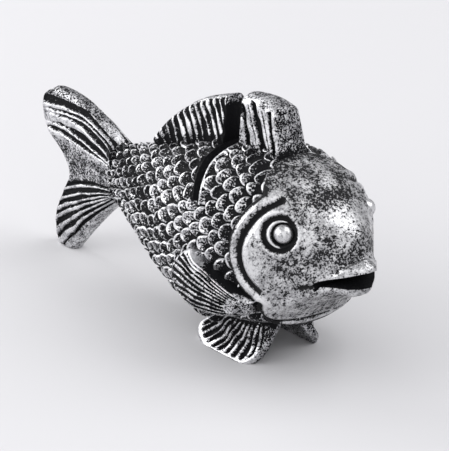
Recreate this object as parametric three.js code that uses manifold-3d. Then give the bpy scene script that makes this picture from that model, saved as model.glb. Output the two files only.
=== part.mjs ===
// A cast fish figure that stands on its two belly fins and its tail, and holds a place card upright
// in a tapered slot across its back. Millimetres; X runs from tail to mouth, Y to the fish's left, Z up.
// Places along the fish are counted from where the belly fins touch the table in front, and heights
// from the lowest point of the belly.
import * as THREE from "three";
import { mergeVertices } from "three/addons/utils/BufferGeometryUtils.js";
import Module from "manifold-3d";

const wasm = await Module();
wasm.setup();

// Trunk and head, without the lips.
const trunkLength = 51.4;
const trunkHeight = 26.3;
const trunkWidth = 21.6;
const snoutX = 20.4;
const bellyAboveTable = 1.9;

// The trunk's outline at shares of its length from the tail: the back line and the belly line as
// shares of the height, and the width there as a share of the full width.
const outline = [
  { at: 0, back: 0.627, belly: 0.331, width: 0.213 },
  { at: 0.117, back: 0.7, belly: 0.243, width: 0.398 },
  { at: 0.253, back: 0.802, belly: 0.133, width: 0.62 },
  { at: 0.409, back: 0.909, belly: 0.042, width: 0.861 },
  { at: 0.564, back: 0.985, belly: 0, width: 1 },
  { at: 0.681, back: 1, belly: 0.046, width: 0.991 },
  { at: 0.778, back: 0.935, belly: 0.156, width: 0.88 },
  { at: 0.856, back: 0.856, belly: 0.262, width: 0.639 },
  { at: 0.924, back: 0.764, belly: 0.346, width: 0.37 },
  { at: 0.973, back: 0.673, belly: 0.414, width: 0.194 },
  { at: 1, back: 0.612, belly: 0.456, width: 0.102 },
];
const widestShare = 0.48; // height of the widest level, as a share of the section
const sectionPower = 2.3; // 2 is an ellipse, more is squarer

// Scales: rows of overlapping plates, each row half a scale out of step with the next one.
const scalePitchTail = 1.3; // girth taken by one scale at the tail root
const scalePitchThick = 2.45; // and where the fish is thickest
const rowSpacing = [
  { at: 0, step: 1.5 },
  { at: 0.14, step: 1.9 },
  { at: 0.29, step: 2.3 },
  { at: 0.45, step: 2.1 },
  { at: 0.8, step: 1.6 },
];
const scaleBow = 0.8; // how far a free edge bows back towards the tail, in row spacings
const scaleDepth = 0.45; // height of the step at a free edge
const scaleStep = 0.15; // length of that step
const scalesStart = 10.4;

// Head: a smooth raised cover that ends in the gill arc, with one groove inside its edge.
const coverRise = 0.2;
const gillCentre = { x: 14.3, z: 16.6 };
const gillRadius = 8.75;
const gillGrooveRadius = 7.45;
const gillGrooveWidth = 0.6;
const gillGrooveDepth = 0.45;
const gillFrom = 128; // degrees, from the mouth's direction over the back
const gillTo = 230;
const napeX = 5.2; // where the scales end behind the head, on the back
const throatX = 9.6; // and on the belly

// Mouth: an open wedge between two lips, with the upper lip the longer one.
const mouthCorner = { x: 14.6, z: 12.4 };
const mouthFrontX = 22.0;
const mouthFrontHigh = 14.9;
const mouthFrontLow = 12.7;
const lipRise = 0.35;
const lipBand = 1.3;
const chinSetBack = 0.7;

// Eyes: a bead in a socket, a raised rim round it and a groove round the rim.
const eyeX = 11.1;
const eyeZ = 19.1;
const eyeBeadRadius = 1.1;
const eyeBeadProud = 0.6;
const eyeRimWidth = 0.4;
const eyeGrooveWidth = 0.45;
const eyeGrooveDepth = 0.4;

// Card slot: straight across the back between the dorsal fins, narrowing down to its floor.
const slotDepth = 5.9; // from the back line to the slot's floor
const slotFloorWidth = 1.3;
const slotWidth = 3.0; // between the dorsal fins and down to the shoulder
const slotTaper = 6.3; // height from the floor to the shoulder
const slotFrontX = -3.0;
const slotFloorAhead = 0.8; // the floor's front edge lies this far before the front wall

// Fins are separate pieces, each held in a socket or on the flank with this clearance.
const fitGap = 0.3;
const finGroove = 0.45; // depth between two rays
const finSink = 1.2; // how deep the dorsal fins sit in the back

const rearDorsal = {
  rays: 14,
  rootTail: -21.8,
  rootNose: -1.4,
  leanTail: 1.8,
  leanNose: 4.6,
  rootHalfTail: 1.1,
  rootHalfNose: 2.5,
  topHalf: 1.5,
  height: [
    { x: -24.0, rise: 0.3 },
    { x: -19.6, rise: 3.2 },
    { x: -13.6, rise: 5.4 },
    { x: -6.0, rise: 6.2 },
  ],
};
const frontDorsal = {
  rays: 4,
  rootTail: -2.7,
  rootNose: 5.3,
  leanTail: 5.0,
  leanNose: 1.8,
  rootHalfTail: 2.5,
  rootHalfNose: 2.5,
  topHalf: 1.6,
  height: [
    { x: -8.0, rise: 6.6 },
    { x: 0.0, rise: 6.4 },
    { x: 3.6, rise: 5.9 },
  ],
};

// The tail fin's rim, from its upper tip to its lower one: lengths behind the trunk, and heights.
const tailRays = 12;
const tailRimHalf = 1.1;
const tailRim = [
  [13.9, 20.8],
  [16.6, 18.7],
  [15.8, 14.4],
  [12.2, 11.5],
  [10.9, 9.1],
  [12.4, 5.9],
  [14.2, 1.7],
  [13.4, -2.1],
  [10.2, -2.4],
];
const tailUpperBow = 1.5; // the fin's upper edge bulges up this much between root and tip
const tailLowerBow = 0.4;

const pectoralRays = 9;
const pectoralThick = 1.3;
const pectoralRimThick = 0.8;
const pectoralRoot = [
  [9.2, 10.2],
  [8.3, 7.9],
];
const pectoralRim = [
  [0.9, 13.3],
  [-1.6, 14.1],
  [-4.8, 11.9],
  [-6.2, 9.3],
  [-5.3, 7.1],
  [-2.0, 6.0],
];
const pectoralLowerBow = 0.9; // the lower edge bulges down between root and rim

// Belly fins: plates splayed outwards, drawn on their outer face as [x, height up the face].
const footSpread = 6.4; // from the middle plane to the outer face, on the table
const footSplay = 37.5; // degrees from upright
const footThick = 1.3;
const footRays = 8;
const footRootFrontX = 4.4;
const footRootRearX = -3.4;
const footSink = 2.2; // how deep the root sits in the belly
const footRim = [
  [4.6, 3.2],
  [3.9, 1.1],
  [2.1, -0.4],
  [-1.2, -0.5],
  [-4.6, -0.4],
  [-7.1, 0.6],
  [-8.0, 2.0],
  [-6.9, 3.7],
];

// How finely the solids are cut into facets.
const samplesPerScale = 2;
const sectionSamples = 48;
const headRings = 12;
const headSides = 44;
const plainRings = 20;
const plainSides = 44;
const arcSides = 12;
const eyeSides = 16;
const finSteps = 5;
const seatSteps = 2;

const degrees = Math.PI / 180;
const { clamp, lerp } = THREE.MathUtils;

// A smooth curve y(x) through points, with the slope at each point taken from its neighbours.
function smooth(xs, ys) {
  const slope = xs.map((_, i) => {
    const a = Math.max(0, i - 1);
    const b = Math.min(xs.length - 1, i + 1);
    return (ys[b] - ys[a]) / (xs[b] - xs[a]);
  });
  return (x) => {
    let i = 0;
    while (i < xs.length - 2 && x > xs[i + 1]) i += 1;
    const span = xs[i + 1] - xs[i];
    const u = clamp((x - xs[i]) / span, 0, 1);
    const straight = lerp(ys[i], ys[i + 1], u * u * (3 - 2 * u));
    return straight + span * u * (1 - u) * (slope[i] * (1 - u) - slope[i + 1] * u);
  };
}

const tailEnd = snoutX - trunkLength;

// A smooth line over the trunk, from values at shares of its length.
function alongTrunk(points, value) {
  return smooth(points.map((p) => tailEnd + p.at * trunkLength), points.map(value));
}

const backLine = alongTrunk(outline, (p) => p.back * trunkHeight);
const bellyLine = alongTrunk(outline, (p) => p.belly * trunkHeight);
const halfWidth = alongTrunk(outline, (p) => (p.width * trunkWidth) / 2);
const rowStep = alongTrunk(rowSpacing, (p) => p.step);
const acrossFish = trunkWidth / 2 + footSpread;
const slotFloorZ = backLine(slotFrontX) - slotDepth;

// The cross-section at x, made larger by grow all round.
function section(x, grow) {
  const back = backLine(x) + grow;
  const belly = bellyLine(x) - grow;
  return { back, belly, half: halfWidth(x) + grow, mid: lerp(belly, back, widestShare) };
}

// Distance from the middle plane to the flank at a height.
function flankY(x, z, grow = 0) {
  const { back, belly, half, mid } = section(x, grow);
  const level = Math.abs(z - mid) / (z > mid ? back - mid : mid - belly);
  return half * Math.max(0, 1 - level ** sectionPower) ** (1 / sectionPower);
}

// The right half of the section at x, from the belly to the back, with its length so far.
function rightHalf(x, grow) {
  const { back, belly, half, mid } = section(x, grow);
  const points = [];
  const run = [0];
  for (let i = 0; i <= sectionSamples; i += 1) {
    const angle = (i / sectionSamples - 0.5) * Math.PI;
    const rise = Math.sin(angle);
    const z = mid + (rise > 0 ? back - mid : mid - belly) * Math.sign(rise) * Math.abs(rise) ** (2 / sectionPower);
    const y = i % sectionSamples === 0 ? 0 : -half * Math.cos(angle) ** (2 / sectionPower);
    points.push(new THREE.Vector3(x, y, z));
    if (i > 0) run.push(run[i - 1] + points[i].distanceTo(points[i - 1]));
  }
  return { points, run, flank: run[sectionSamples / 2], length: run[sectionSamples] };
}

function pointAt({ points, run }, length) {
  let i = 0;
  while (i < run.length - 2 && length > run[i + 1]) i += 1;
  const share = clamp((length - run[i]) / (run[i + 1] - run[i]), 0, 1);
  return points[i].clone().lerp(points[i + 1], share);
}

// A whole ring from its right half: belly, right flank, back, left flank.
function wholeRing(right) {
  const left = right.slice(1, -1).map((p) => new THREE.Vector3(p.x, -p.y, p.z));
  return right.concat(left.reverse());
}

function evenRing(x, sides, grow) {
  const half = rightHalf(x, grow);
  const right = [];
  for (let i = 0; i <= sides / 2; i += 1) right.push(pointAt(half, (half.length * i * 2) / sides));
  return wholeRing(right);
}

// A solid from a geometry: shared corners merged, faces without area dropped, facing out.
function solid(geometry) {
  const bare = new THREE.BufferGeometry();
  bare.setAttribute("position", geometry.getAttribute("position"));
  bare.setIndex(geometry.index);
  const merged = mergeVertices(bare, 1e-4);
  const index = merged.index.array;
  const faces = [];
  for (let i = 0; i < index.length; i += 3) {
    const [a, b, c] = [index[i], index[i + 1], index[i + 2]];
    if (a !== b && b !== c && a !== c) faces.push(a, b, c);
  }
  const vertProperties = new Float32Array(merged.getAttribute("position").array);
  const corner = (i) => new THREE.Vector3().fromArray(vertProperties, i * 3);
  let volume = 0;
  for (let i = 0; i < faces.length; i += 3) {
    volume += corner(faces[i]).dot(corner(faces[i + 1]).cross(corner(faces[i + 2])));
  }
  if (volume < 0) faces.reverse();
  return new wasm.Manifold(
    new wasm.Mesh({ numProp: 3, vertProperties, triVerts: new Uint32Array(faces) }),
  );
}

function fromPoints(points, faces) {
  const flat = new Float32Array(points.flatMap((p) => p.toArray()));
  const geometry = new THREE.BufferGeometry();
  geometry.setAttribute("position", new THREE.BufferAttribute(flat, 3));
  return solid(geometry.setIndex(faces));
}

function quad(a, b, c, d) {
  return [a, b, c, a, c, d];
}

// A closed skin over rings of equally many points, with a fan across each end.
function skin(rings) {
  const sides = rings[0].length;
  const points = rings.flat();
  const faces = [];
  for (let r = 0; r + 1 < rings.length; r += 1) {
    for (let c = 0; c < sides; c += 1) {
      const d = (c + 1) % sides;
      faces.push(...quad(r * sides + c, r * sides + d, (r + 1) * sides + d, (r + 1) * sides + c));
    }
  }
  for (const ring of [rings[0], rings[rings.length - 1]]) {
    const first = ring === rings[0];
    const start = first ? 0 : (rings.length - 1) * sides;
    const hub = points.length;
    points.push(ring.reduce((sum, p) => sum.add(p), new THREE.Vector3()).divideScalar(sides));
    for (let c = 0; c < sides; c += 1) {
      const a = start + c;
      const b = start + ((c + 1) % sides);
      faces.push(hub, first ? b : a, first ? a : b);
    }
  }
  return fromPoints(points, faces);
}

// A closed leaf between two sheets, sheet(s, t, side), joined round their edge.
// s runs from the root to the rim and t along them; the columns are the fin's rays and grooves.
function leaf(steps, columns, sheet) {
  const points = [];
  for (const side of [1, -1]) {
    for (let i = 0; i <= steps; i += 1) {
      for (let j = 0; j <= columns; j += 1) points.push(sheet(i / steps, j / columns, side));
    }
  }
  const wide = columns + 1;
  const other = (steps + 1) * wide;
  const faces = [];
  for (let i = 0; i < steps; i += 1) {
    for (let j = 0; j < columns; j += 1) {
      const a = i * wide + j;
      faces.push(...quad(a, a + 1, a + 1 + wide, a + wide));
      faces.push(...quad(other + a, other + a + wide, other + a + 1 + wide, other + a + 1));
    }
  }
  const edge = [];
  for (let j = 0; j < columns; j += 1) edge.push(j);
  for (let i = 0; i < steps; i += 1) edge.push(i * wide + columns);
  for (let j = columns; j > 0; j -= 1) edge.push(steps * wide + j);
  for (let i = steps; i > 0; i -= 1) edge.push(i * wide);
  edge.forEach((a, k) => {
    const b = edge[(k + 1) % edge.length];
    faces.push(...quad(b, a, other + a, other + b));
  });
  return fromPoints(points, faces);
}

// An outline drawn in X and Z, made into a prism right across the fish.
function acrossPrism(outline) {
  const shape = Array.isArray(outline) ? new THREE.Shape(outline.map(([x, z]) => new THREE.Vector2(x, z))) : outline;
  const geometry = new THREE.ExtrudeGeometry(shape, {
    depth: acrossFish * 2,
    bevelEnabled: false,
    curveSegments: arcSides,
  });
  return solid(geometry.rotateX(Math.PI / 2).translate(0, acrossFish, 0));
}

// The trunk and head as one plain body, grown or shrunk.
function plainBody(grow) {
  const rings = [];
  for (let i = 0; i <= plainRings; i += 1) {
    rings.push(evenRing(lerp(tailEnd, snoutX, i / plainRings), plainSides, grow));
  }
  rings[0].forEach((p) => p.setX(tailEnd - Math.max(0, grow)));
  rings[plainRings].forEach((p) => p.setX(snoutX + grow));
  return skin(rings);
}

function scalePitch(x) {
  const thin = halfWidth(tailEnd);
  return lerp(scalePitchTail, scalePitchThick, (halfWidth(x) - thin) / (trunkWidth / 2 - thin));
}

// Scales that fit between the middle of the flank and the back or belly line at x.
function scalesUp(x) {
  const half = rightHalf(x, 0);
  return (half.length - half.flank) / scalePitch(x);
}

function scalesDown(x) {
  return rightHalf(x, 0).flank / scalePitch(x);
}

// One edge of a row of scales. Columns lie at even girth from the middle of the flank, and a
// column that would pass the back or belly line ends on it.
function scaleEdge(row, rowX, bow, back, sink) {
  const front = rowX - back;
  const rear = front - bow;
  const up = Math.min(scalesUp(rowX), scalesUp(rear)) - 0.2;
  const down = Math.min(scalesDown(rowX), scalesDown(rear)) - 0.2;
  const ends = rightHalf(front, -sink).points;
  const columns = Math.ceil(Math.max(scalesUp(0), scalesDown(0)) * samplesPerScale) + samplesPerScale;
  const right = [ends[0]];
  for (let k = -columns; k <= columns; k += 1) {
    const place = k / samplesPerScale;
    const offset = place + (row % 2) / 2;
    const fromTip = 2 * Math.abs(offset - Math.round(offset));
    const x = front - bow * (1 - fromTip * fromTip);
    const half = rightHalf(x, -sink);
    if (place > up) right.push(ends[sectionSamples]);
    else if (place < -down) right.push(ends[0]);
    else right.push(pointAt(half, half.flank + place * scalePitch(x)));
  }
  right.push(ends[sectionSamples]);
  return wholeRing(right);
}

// The scaled trunk: every row gives a free edge that stands proud and the foot of its step.
function scaledTrunk() {
  const rings = [];
  let x = scalesStart;
  let bow = rowStep(x) * scaleBow;
  for (let row = 0; x - bow - scaleStep * 2 > tailEnd; row += 1) {
    rings.push(scaleEdge(row, x, bow, 0, 0));
    rings.push(scaleEdge(row, x, bow, scaleStep, scaleDepth));
    x -= rowStep(x);
    bow = rowStep(x) * scaleBow;
  }
  rings.push(scaleEdge(0, tailEnd, 0, 0, 0));
  return skin(rings.reverse());
}

// The smooth head, ended by the gill arc.
function headCover() {
  const rings = [];
  const start = napeX - 2;
  for (let i = 0; i <= headRings; i += 1) {
    const share = 1 - (1 - i / headRings) ** 1.5;
    rings.push(evenRing(lerp(start, snoutX, share), headSides, coverRise));
  }
  const cover = new THREE.Shape();
  cover.moveTo(napeX, trunkHeight + 2);
  cover.absarc(gillCentre.x, gillCentre.z, gillRadius, gillFrom * degrees, gillTo * degrees, false);
  cover.lineTo(throatX, 0);
  cover.lineTo(snoutX + 2, 0);
  cover.lineTo(snoutX + 2, trunkHeight + 2);
  return skin(rings).intersect(acrossPrism(cover));
}

// A groove round the gill cover, with a floor that follows the flank.
function gillGroove() {
  const inner = gillGrooveRadius - gillGrooveWidth / 2;
  const arc = new THREE.Shape();
  const [from, to] = [gillFrom * degrees, gillTo * degrees];
  arc.absarc(gillCentre.x, gillCentre.z, inner + gillGrooveWidth, from, to, false);
  arc.absarc(gillCentre.x, gillCentre.z, inner, to, from, true);
  return acrossPrism(arc).subtract(plainBody(coverRise - gillGrooveDepth));
}

function mouthWedge(spread) {
  return acrossPrism([
    [mouthCorner.x - spread, mouthCorner.z],
    [mouthFrontX, mouthFrontLow - spread],
    [mouthFrontX, mouthFrontHigh + spread],
  ]);
}

function lips() {
  return plainBody(coverRise + lipRise).intersect(mouthWedge(lipBand));
}

// What stands in front of the lower lip.
function beforeChin() {
  const x = snoutX + coverRise + lipRise - chinSetBack;
  const z = (mouthFrontHigh + mouthFrontLow) / 2;
  return acrossPrism([
    [x, 0],
    [mouthFrontX, 0],
    [mouthFrontX, z],
    [x, z],
  ]);
}

// The card slot. Its walls can be moved out, so that it takes in all that lies beyond them.
function cardSlot(rearOut = 0, frontOut = 0) {
  const floorFront = slotFrontX + slotFloorAhead;
  const shoulder = slotFloorZ + slotTaper;
  const top = trunkHeight * 2;
  return acrossPrism([
    [floorFront - slotFloorWidth - rearOut, slotFloorZ],
    [floorFront + frontOut, slotFloorZ],
    [slotFrontX + frontOut, shoulder],
    [slotFrontX + frontOut, top],
    [slotFrontX - slotWidth - rearOut, top],
    [slotFrontX - slotWidth - rearOut, shoulder],
  ]);
}

// Turns a shape drawn round +Z at the origin to stand on the face where an eye is.
function onFace(geometry, side) {
  const d = 0.05;
  const slopeX = (flankY(eyeX + d, eyeZ) - flankY(eyeX - d, eyeZ)) / (2 * d);
  const slopeZ = (flankY(eyeX, eyeZ + d) - flankY(eyeX, eyeZ - d)) / (2 * d);
  const out = new THREE.Vector3(-slopeX, side, -slopeZ).normalize();
  const turn = new THREE.Quaternion().setFromUnitVectors(new THREE.Vector3(0, 0, 1), out);
  const centre = new THREE.Vector3(eyeX, side * flankY(eyeX, eyeZ), eyeZ);
  geometry.applyQuaternion(turn).translate(centre.x, centre.y, centre.z);
  return solid(geometry);
}

function faceRing(inner, outer, depth, side) {
  const high = coverRise + eyeBeadProud;
  const profile = [[inner, -depth], [outer, -depth], [outer, high], [inner, high]];
  if (inner > 0) profile.push(profile[0]);
  const points = profile.map(([r, z]) => new THREE.Vector2(r, z));
  return onFace(new THREE.LatheGeometry(points, eyeSides).rotateX(Math.PI / 2), side);
}

// The eye's socket, and the groove that leaves a rim round it.
function eyeCuts(side) {
  const socket = eyeBeadRadius + fitGap;
  const depth = eyeBeadRadius * 2 - eyeBeadProud - coverRise + fitGap;
  const groove = socket + eyeRimWidth;
  return faceRing(0, socket, depth, side).add(
    faceRing(groove, groove + eyeGrooveWidth, eyeGrooveDepth - coverRise, side),
  );
}

function eyeBead(side) {
  const bead = new THREE.SphereGeometry(eyeBeadRadius, eyeSides, eyeSides / 2);
  return onFace(bead.translate(0, 0, coverRise + eyeBeadProud - eyeBeadRadius), side);
}

// Grooves lie on the odd columns of a fin and fade out at its root and its rim.
function rayGroove(s, t, rays) {
  const odd = Math.round(t * rays * 2) % 2;
  return odd && s > 0.05 && s < 0.95 ? finGroove : 0;
}

function curveThrough(points) {
  const curve = new THREE.CatmullRomCurve3(
    points.map(([x, z]) => new THREE.Vector3(x, 0, z)),
    false,
    "centripetal",
  );
  return (t) => curve.getPointAt(t);
}

// A dorsal fin: rays rise from the back, lean towards the tail and end on the top line.
// With room, it is the plain space that the fin needs round it.
function dorsalFin(fin, room) {
  const rise = smooth(fin.height.map((p) => p.x), fin.height.map((p) => p.rise));
  const [steps, columns] = room > 0 ? [seatSteps, fin.rays] : [finSteps, fin.rays * 2];
  return leaf(steps, columns, (s, t, side) => {
    const rootX = lerp(fin.rootTail - room, fin.rootNose + room, t);
    const topX = rootX - lerp(fin.leanTail, fin.leanNose, t);
    const rootZ = backLine(rootX) - finSink - room;
    const topZ = backLine(topX) + rise(topX) + room;
    const rootHalf = lerp(fin.rootHalfTail, fin.rootHalfNose, t);
    const groove = room > 0 ? -room : rayGroove(s, t, fin.rays);
    const half = lerp(rootHalf, Math.min(rootHalf, fin.topHalf), s) - groove;
    return new THREE.Vector3(lerp(rootX, topX, s), side * half, lerp(rootZ, topZ, s));
  });
}

// The dorsal fins end on the slot's walls. The seats they need run on into the slot.
function rearDorsalFin(room = 0) {
  return dorsalFin(rearDorsal, room).subtract(cardSlot(-room, trunkLength));
}

function frontDorsalFin(room = 0) {
  return dorsalFin(frontDorsal, room).subtract(cardSlot(trunkLength, -room));
}

// Everything under the table's surface.
function underTable() {
  const size = trunkLength * 3;
  return solid(new THREE.BoxGeometry(size, size, size).translate(0, 0, -size / 2 - bellyAboveTable));
}

// The tail: its root meets the trunk's end face, and its rays fan out to a notched rim.
function tailFin() {
  const x = tailEnd - fitGap;
  const rim = curveThrough(tailRim.map(([behind, z]) => [tailEnd - behind, z]));
  const fin = leaf(finSteps + 1, tailRays * 2, (s, t, side) => {
    const root = new THREE.Vector3(x, 0, lerp(backLine(tailEnd), bellyLine(tailEnd), t));
    const point = root.lerp(rim(t), s);
    const bulge = 4 * s * (1 - s);
    point.z += bulge * (tailUpperBow * (1 - t) ** 3 + tailLowerBow * t ** 3);
    const half = lerp(halfWidth(tailEnd), tailRimHalf, Math.sqrt(s)) - rayGroove(s, t, tailRays);
    return point.setY(side * half);
  });
  return fin.subtract(underTable());
}

// A side fin lies along the flank, a little proud of it.
function pectoralFin(side) {
  const rim = curveThrough(pectoralRim);
  const root = curveThrough(pectoralRoot);
  return leaf(finSteps + 1, pectoralRays * 2, (s, t, face) => {
    const point = root(t).lerp(rim(t), s);
    point.z -= pectoralLowerBow * 4 * s * (1 - s) * t ** 3;
    const inner = coverRise + fitGap;
    const thick = lerp(pectoralThick, pectoralRimThick, s) - rayGroove(s, t, pectoralRays);
    const proud = face > 0 ? inner + thick : inner;
    return point.setY(side * flankY(point.x, point.z, proud));
  });
}

// A belly fin that serves as a foot, cut flat where it stands on the table.
function pelvicFin(side, room = 0) {
  const up = new THREE.Vector3(0, -Math.sin(footSplay * degrees), Math.cos(footSplay * degrees));
  const rise = (x) => (bellyLine(x) + footSink + bellyAboveTable) / up.z;
  const root = curveThrough([footRootFrontX, footRootRearX].map((x) => [x, rise(x)]));
  const rim = curveThrough(footRim);
  const out = new THREE.Vector3(0, up.z, -up.y);
  const [steps, columns] = room > 0 ? [seatSteps, footRays] : [finSteps, footRays * 2];
  const fin = leaf(steps, columns, (s, t, face) => {
    const flat = root(t).lerp(rim(t), s);
    const wider = room * (1 - 2 * t);
    const point = new THREE.Vector3(flat.x + wider, footSpread, -bellyAboveTable);
    point.addScaledVector(up, flat.z + room * (1 - s));
    const groove = room > 0 ? 0 : rayGroove(s, t, footRays);
    point.addScaledVector(out, face > 0 ? room - groove : -footThick - room);
    return point.setY(side * point.y);
  });
  return fin.subtract(underTable());
}

// Cuts that run along a scale's edge can leave a loose crumb, which is dropped.
function withoutCrumbs(form) {
  return form.decompose().reduce((a, b) => (a.volume() > b.volume() ? a : b));
}

// Trunk and head in one piece, with the slot, the mouth and the seats of eyes and fins.
function fishBody() {
  const cuts = [
    gillGroove(),
    mouthWedge(0),
    beforeChin(),
    cardSlot(),
    rearDorsalFin(fitGap),
    frontDorsalFin(fitGap),
  ];
  for (const side of [-1, 1]) cuts.push(eyeCuts(side), pelvicFin(side, fitGap));
  const whole = scaledTrunk().add(headCover()).add(lips());
  return withoutCrumbs(cuts.reduce((body, cut) => body.subtract(cut), whole));
}

const antiqueSilver = { color: 0x9d9fa3, roughness: 0.4, metalness: 0.85 };
const polishedSilver = { color: 0xc9cbcf, roughness: 0.25, metalness: 0.9 };

function piece(name, form, finish) {
  const { vertProperties, triVerts } = form.getMesh();
  const geometry = new THREE.BufferGeometry();
  geometry.setAttribute("position", new THREE.BufferAttribute(new Float32Array(vertProperties), 3));
  geometry.setIndex(new THREE.BufferAttribute(new Uint32Array(triVerts), 1));
  const mesh = new THREE.Mesh(geometry, new THREE.MeshStandardMaterial({ ...finish, flatShading: true }));
  mesh.name = name;
  return mesh;
}

const fish = new THREE.Group();
fish.add(
  piece("body", fishBody(), antiqueSilver),
  piece("tail_fin", tailFin(), antiqueSilver),
  piece("rear_dorsal_fin", rearDorsalFin(), antiqueSilver),
  piece("front_dorsal_fin", frontDorsalFin(), antiqueSilver),
);
for (const [name, side] of [["right", -1], ["left", 1]]) {
  fish.add(
    piece(`${name}_pectoral_fin`, pectoralFin(side), antiqueSilver),
    piece(`${name}_pelvic_fin`, pelvicFin(side), antiqueSilver),
    piece(`${name}_eye`, eyeBead(side), polishedSilver),
  );
}

// The origin lies on the table, under the middle of the fish's length.
const extent = new THREE.Box3().setFromObject(fish);
fish.position.set(-(extent.min.x + extent.max.x) / 2, 0, bellyAboveTable);

export default fish;
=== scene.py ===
"""Looks of a small cast fish in antique silver that stands on its belly fins and holds a place card.

Shapes are worked out in millimetres. Places along the fish are counted from where the belly fins
touch the table in front, heights from the table, and +Y is the fish's left.
"""

import logging
from dataclasses import dataclass, field
from enum import Enum
from functools import partialmethod

import bpy
import numpy as np
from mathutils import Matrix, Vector

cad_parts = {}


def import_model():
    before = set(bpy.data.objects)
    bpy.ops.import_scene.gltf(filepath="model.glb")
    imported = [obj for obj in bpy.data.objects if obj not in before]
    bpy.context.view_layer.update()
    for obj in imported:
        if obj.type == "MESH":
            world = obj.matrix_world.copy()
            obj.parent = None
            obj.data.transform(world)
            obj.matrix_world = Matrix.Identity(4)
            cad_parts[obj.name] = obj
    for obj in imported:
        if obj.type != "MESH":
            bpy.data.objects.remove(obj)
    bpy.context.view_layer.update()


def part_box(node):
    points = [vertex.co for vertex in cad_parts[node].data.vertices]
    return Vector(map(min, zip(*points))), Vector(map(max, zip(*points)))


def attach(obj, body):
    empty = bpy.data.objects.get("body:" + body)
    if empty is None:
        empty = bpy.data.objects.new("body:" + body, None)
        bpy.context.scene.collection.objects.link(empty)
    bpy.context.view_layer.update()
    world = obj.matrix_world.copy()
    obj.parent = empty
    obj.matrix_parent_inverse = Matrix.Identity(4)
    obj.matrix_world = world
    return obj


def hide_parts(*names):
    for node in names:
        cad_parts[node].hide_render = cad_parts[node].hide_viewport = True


log = logging.getLogger("fish")

MM = 0.001
FAR = 1e9  # longer than any distance on the fish
TABLE = 0.02  # how far above the table the feet end, so that no face lies in the table top
Array = np.ndarray
Object = bpy.types.Object
Material = bpy.types.Material


class Side(Enum):
    """Which flank of the fish a piece is on."""

    RIGHT = -1
    LEFT = 1

    @property
    def label(self) -> str:
        """The side's name, as in the names of pieces."""
        return self.name.lower()


class Slot(Enum):
    """The record's finishes."""

    ANTIQUE = "antique_silver"
    POLISHED = "polished_silver"


# ------------------------------------------------------------ numbers


def smoothstep(low: float, high: float, x: Array) -> Array:
    """A soft step 3u^2 - 2u^3, with u = (x - low) / (high - low) held in 0 to 1; it falls if high < low."""
    u = np.clip((x - low) / (high - low), 0.0, 1.0)
    return u * u * (3.0 - 2.0 * u)


def plateau(x: Array, low: float, rise: float, fall: float, high: float) -> Array:
    """1 from rise to fall and 0 outside low to high, with soft steps between them."""
    return smoothstep(low, rise, x) * smoothstep(high, fall, x)


def hump(x: Array, width: float) -> Array:
    """A soft bump of height 1: exp(-(x / width)^2)."""
    return np.exp(-((x / width) ** 2))


def mix(one: "Array | Wire", other: "Array | Wire | float", share: "Array | Wire") -> "Array | Wire":
    """The way from one value to the other: one + (other - one) share."""
    return one + (other - one) * share


def wobble(points: Array, size: float, seed: int) -> Array:
    """A smooth wander between about -1 and 1: a sum of eight sine waves of fixed random headings.

    Args:
        points: places, with x, y, z in the last axis.
        size: length of one wave in millimetres.
        seed: seed of the headings.

    Returns:
        The wander at each place.
    """
    random = np.random.default_rng(seed)
    headings = random.normal(size=(8, 3))
    headings *= random.uniform(0.6, 1.5, (8, 1)) / np.linalg.norm(headings, axis=1, keepdims=True)
    phases = random.uniform(0, 2 * np.pi, 8)
    return np.sin(points @ headings.T * (2 * np.pi / size) + phases).sum(-1) / 3.0


class Smooth:
    """A smooth curve through points, with the slope at a point taken from its two neighbours."""

    def __init__(self, xs: list | tuple, ys: list | tuple) -> None:
        """Keeps the points and their slopes.

        Args:
            xs: the places, in rising order.
            ys: the heights there.
        """
        self.xs, self.ys = np.asarray(xs, float), np.asarray(ys, float)
        i, last = np.arange(len(xs)), len(xs) - 1
        before, after = np.maximum(i - 1, 0), np.minimum(i + 1, last)
        self.slope = (self.ys[after] - self.ys[before]) / (self.xs[after] - self.xs[before])

    def __call__(self, x: Array) -> Array:
        """The curve's height: a soft step between two points, plus span u(1-u) times the slopes.

        Args:
            x: where it is wanted.

        Returns:
            The height at each place.
        """
        i = np.clip(np.searchsorted(self.xs, x, side="left") - 1, 0, len(self.xs) - 2)
        span = self.xs[i + 1] - self.xs[i]
        u = np.clip((x - self.xs[i]) / span, 0.0, 1.0)
        step = u * u * (3 - 2 * u)
        level = self.ys[i] * (1 - step) + self.ys[i + 1] * step
        return level + span * u * (1 - u) * (self.slope[i] * (1 - u) - self.slope[i + 1] * u)


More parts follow.
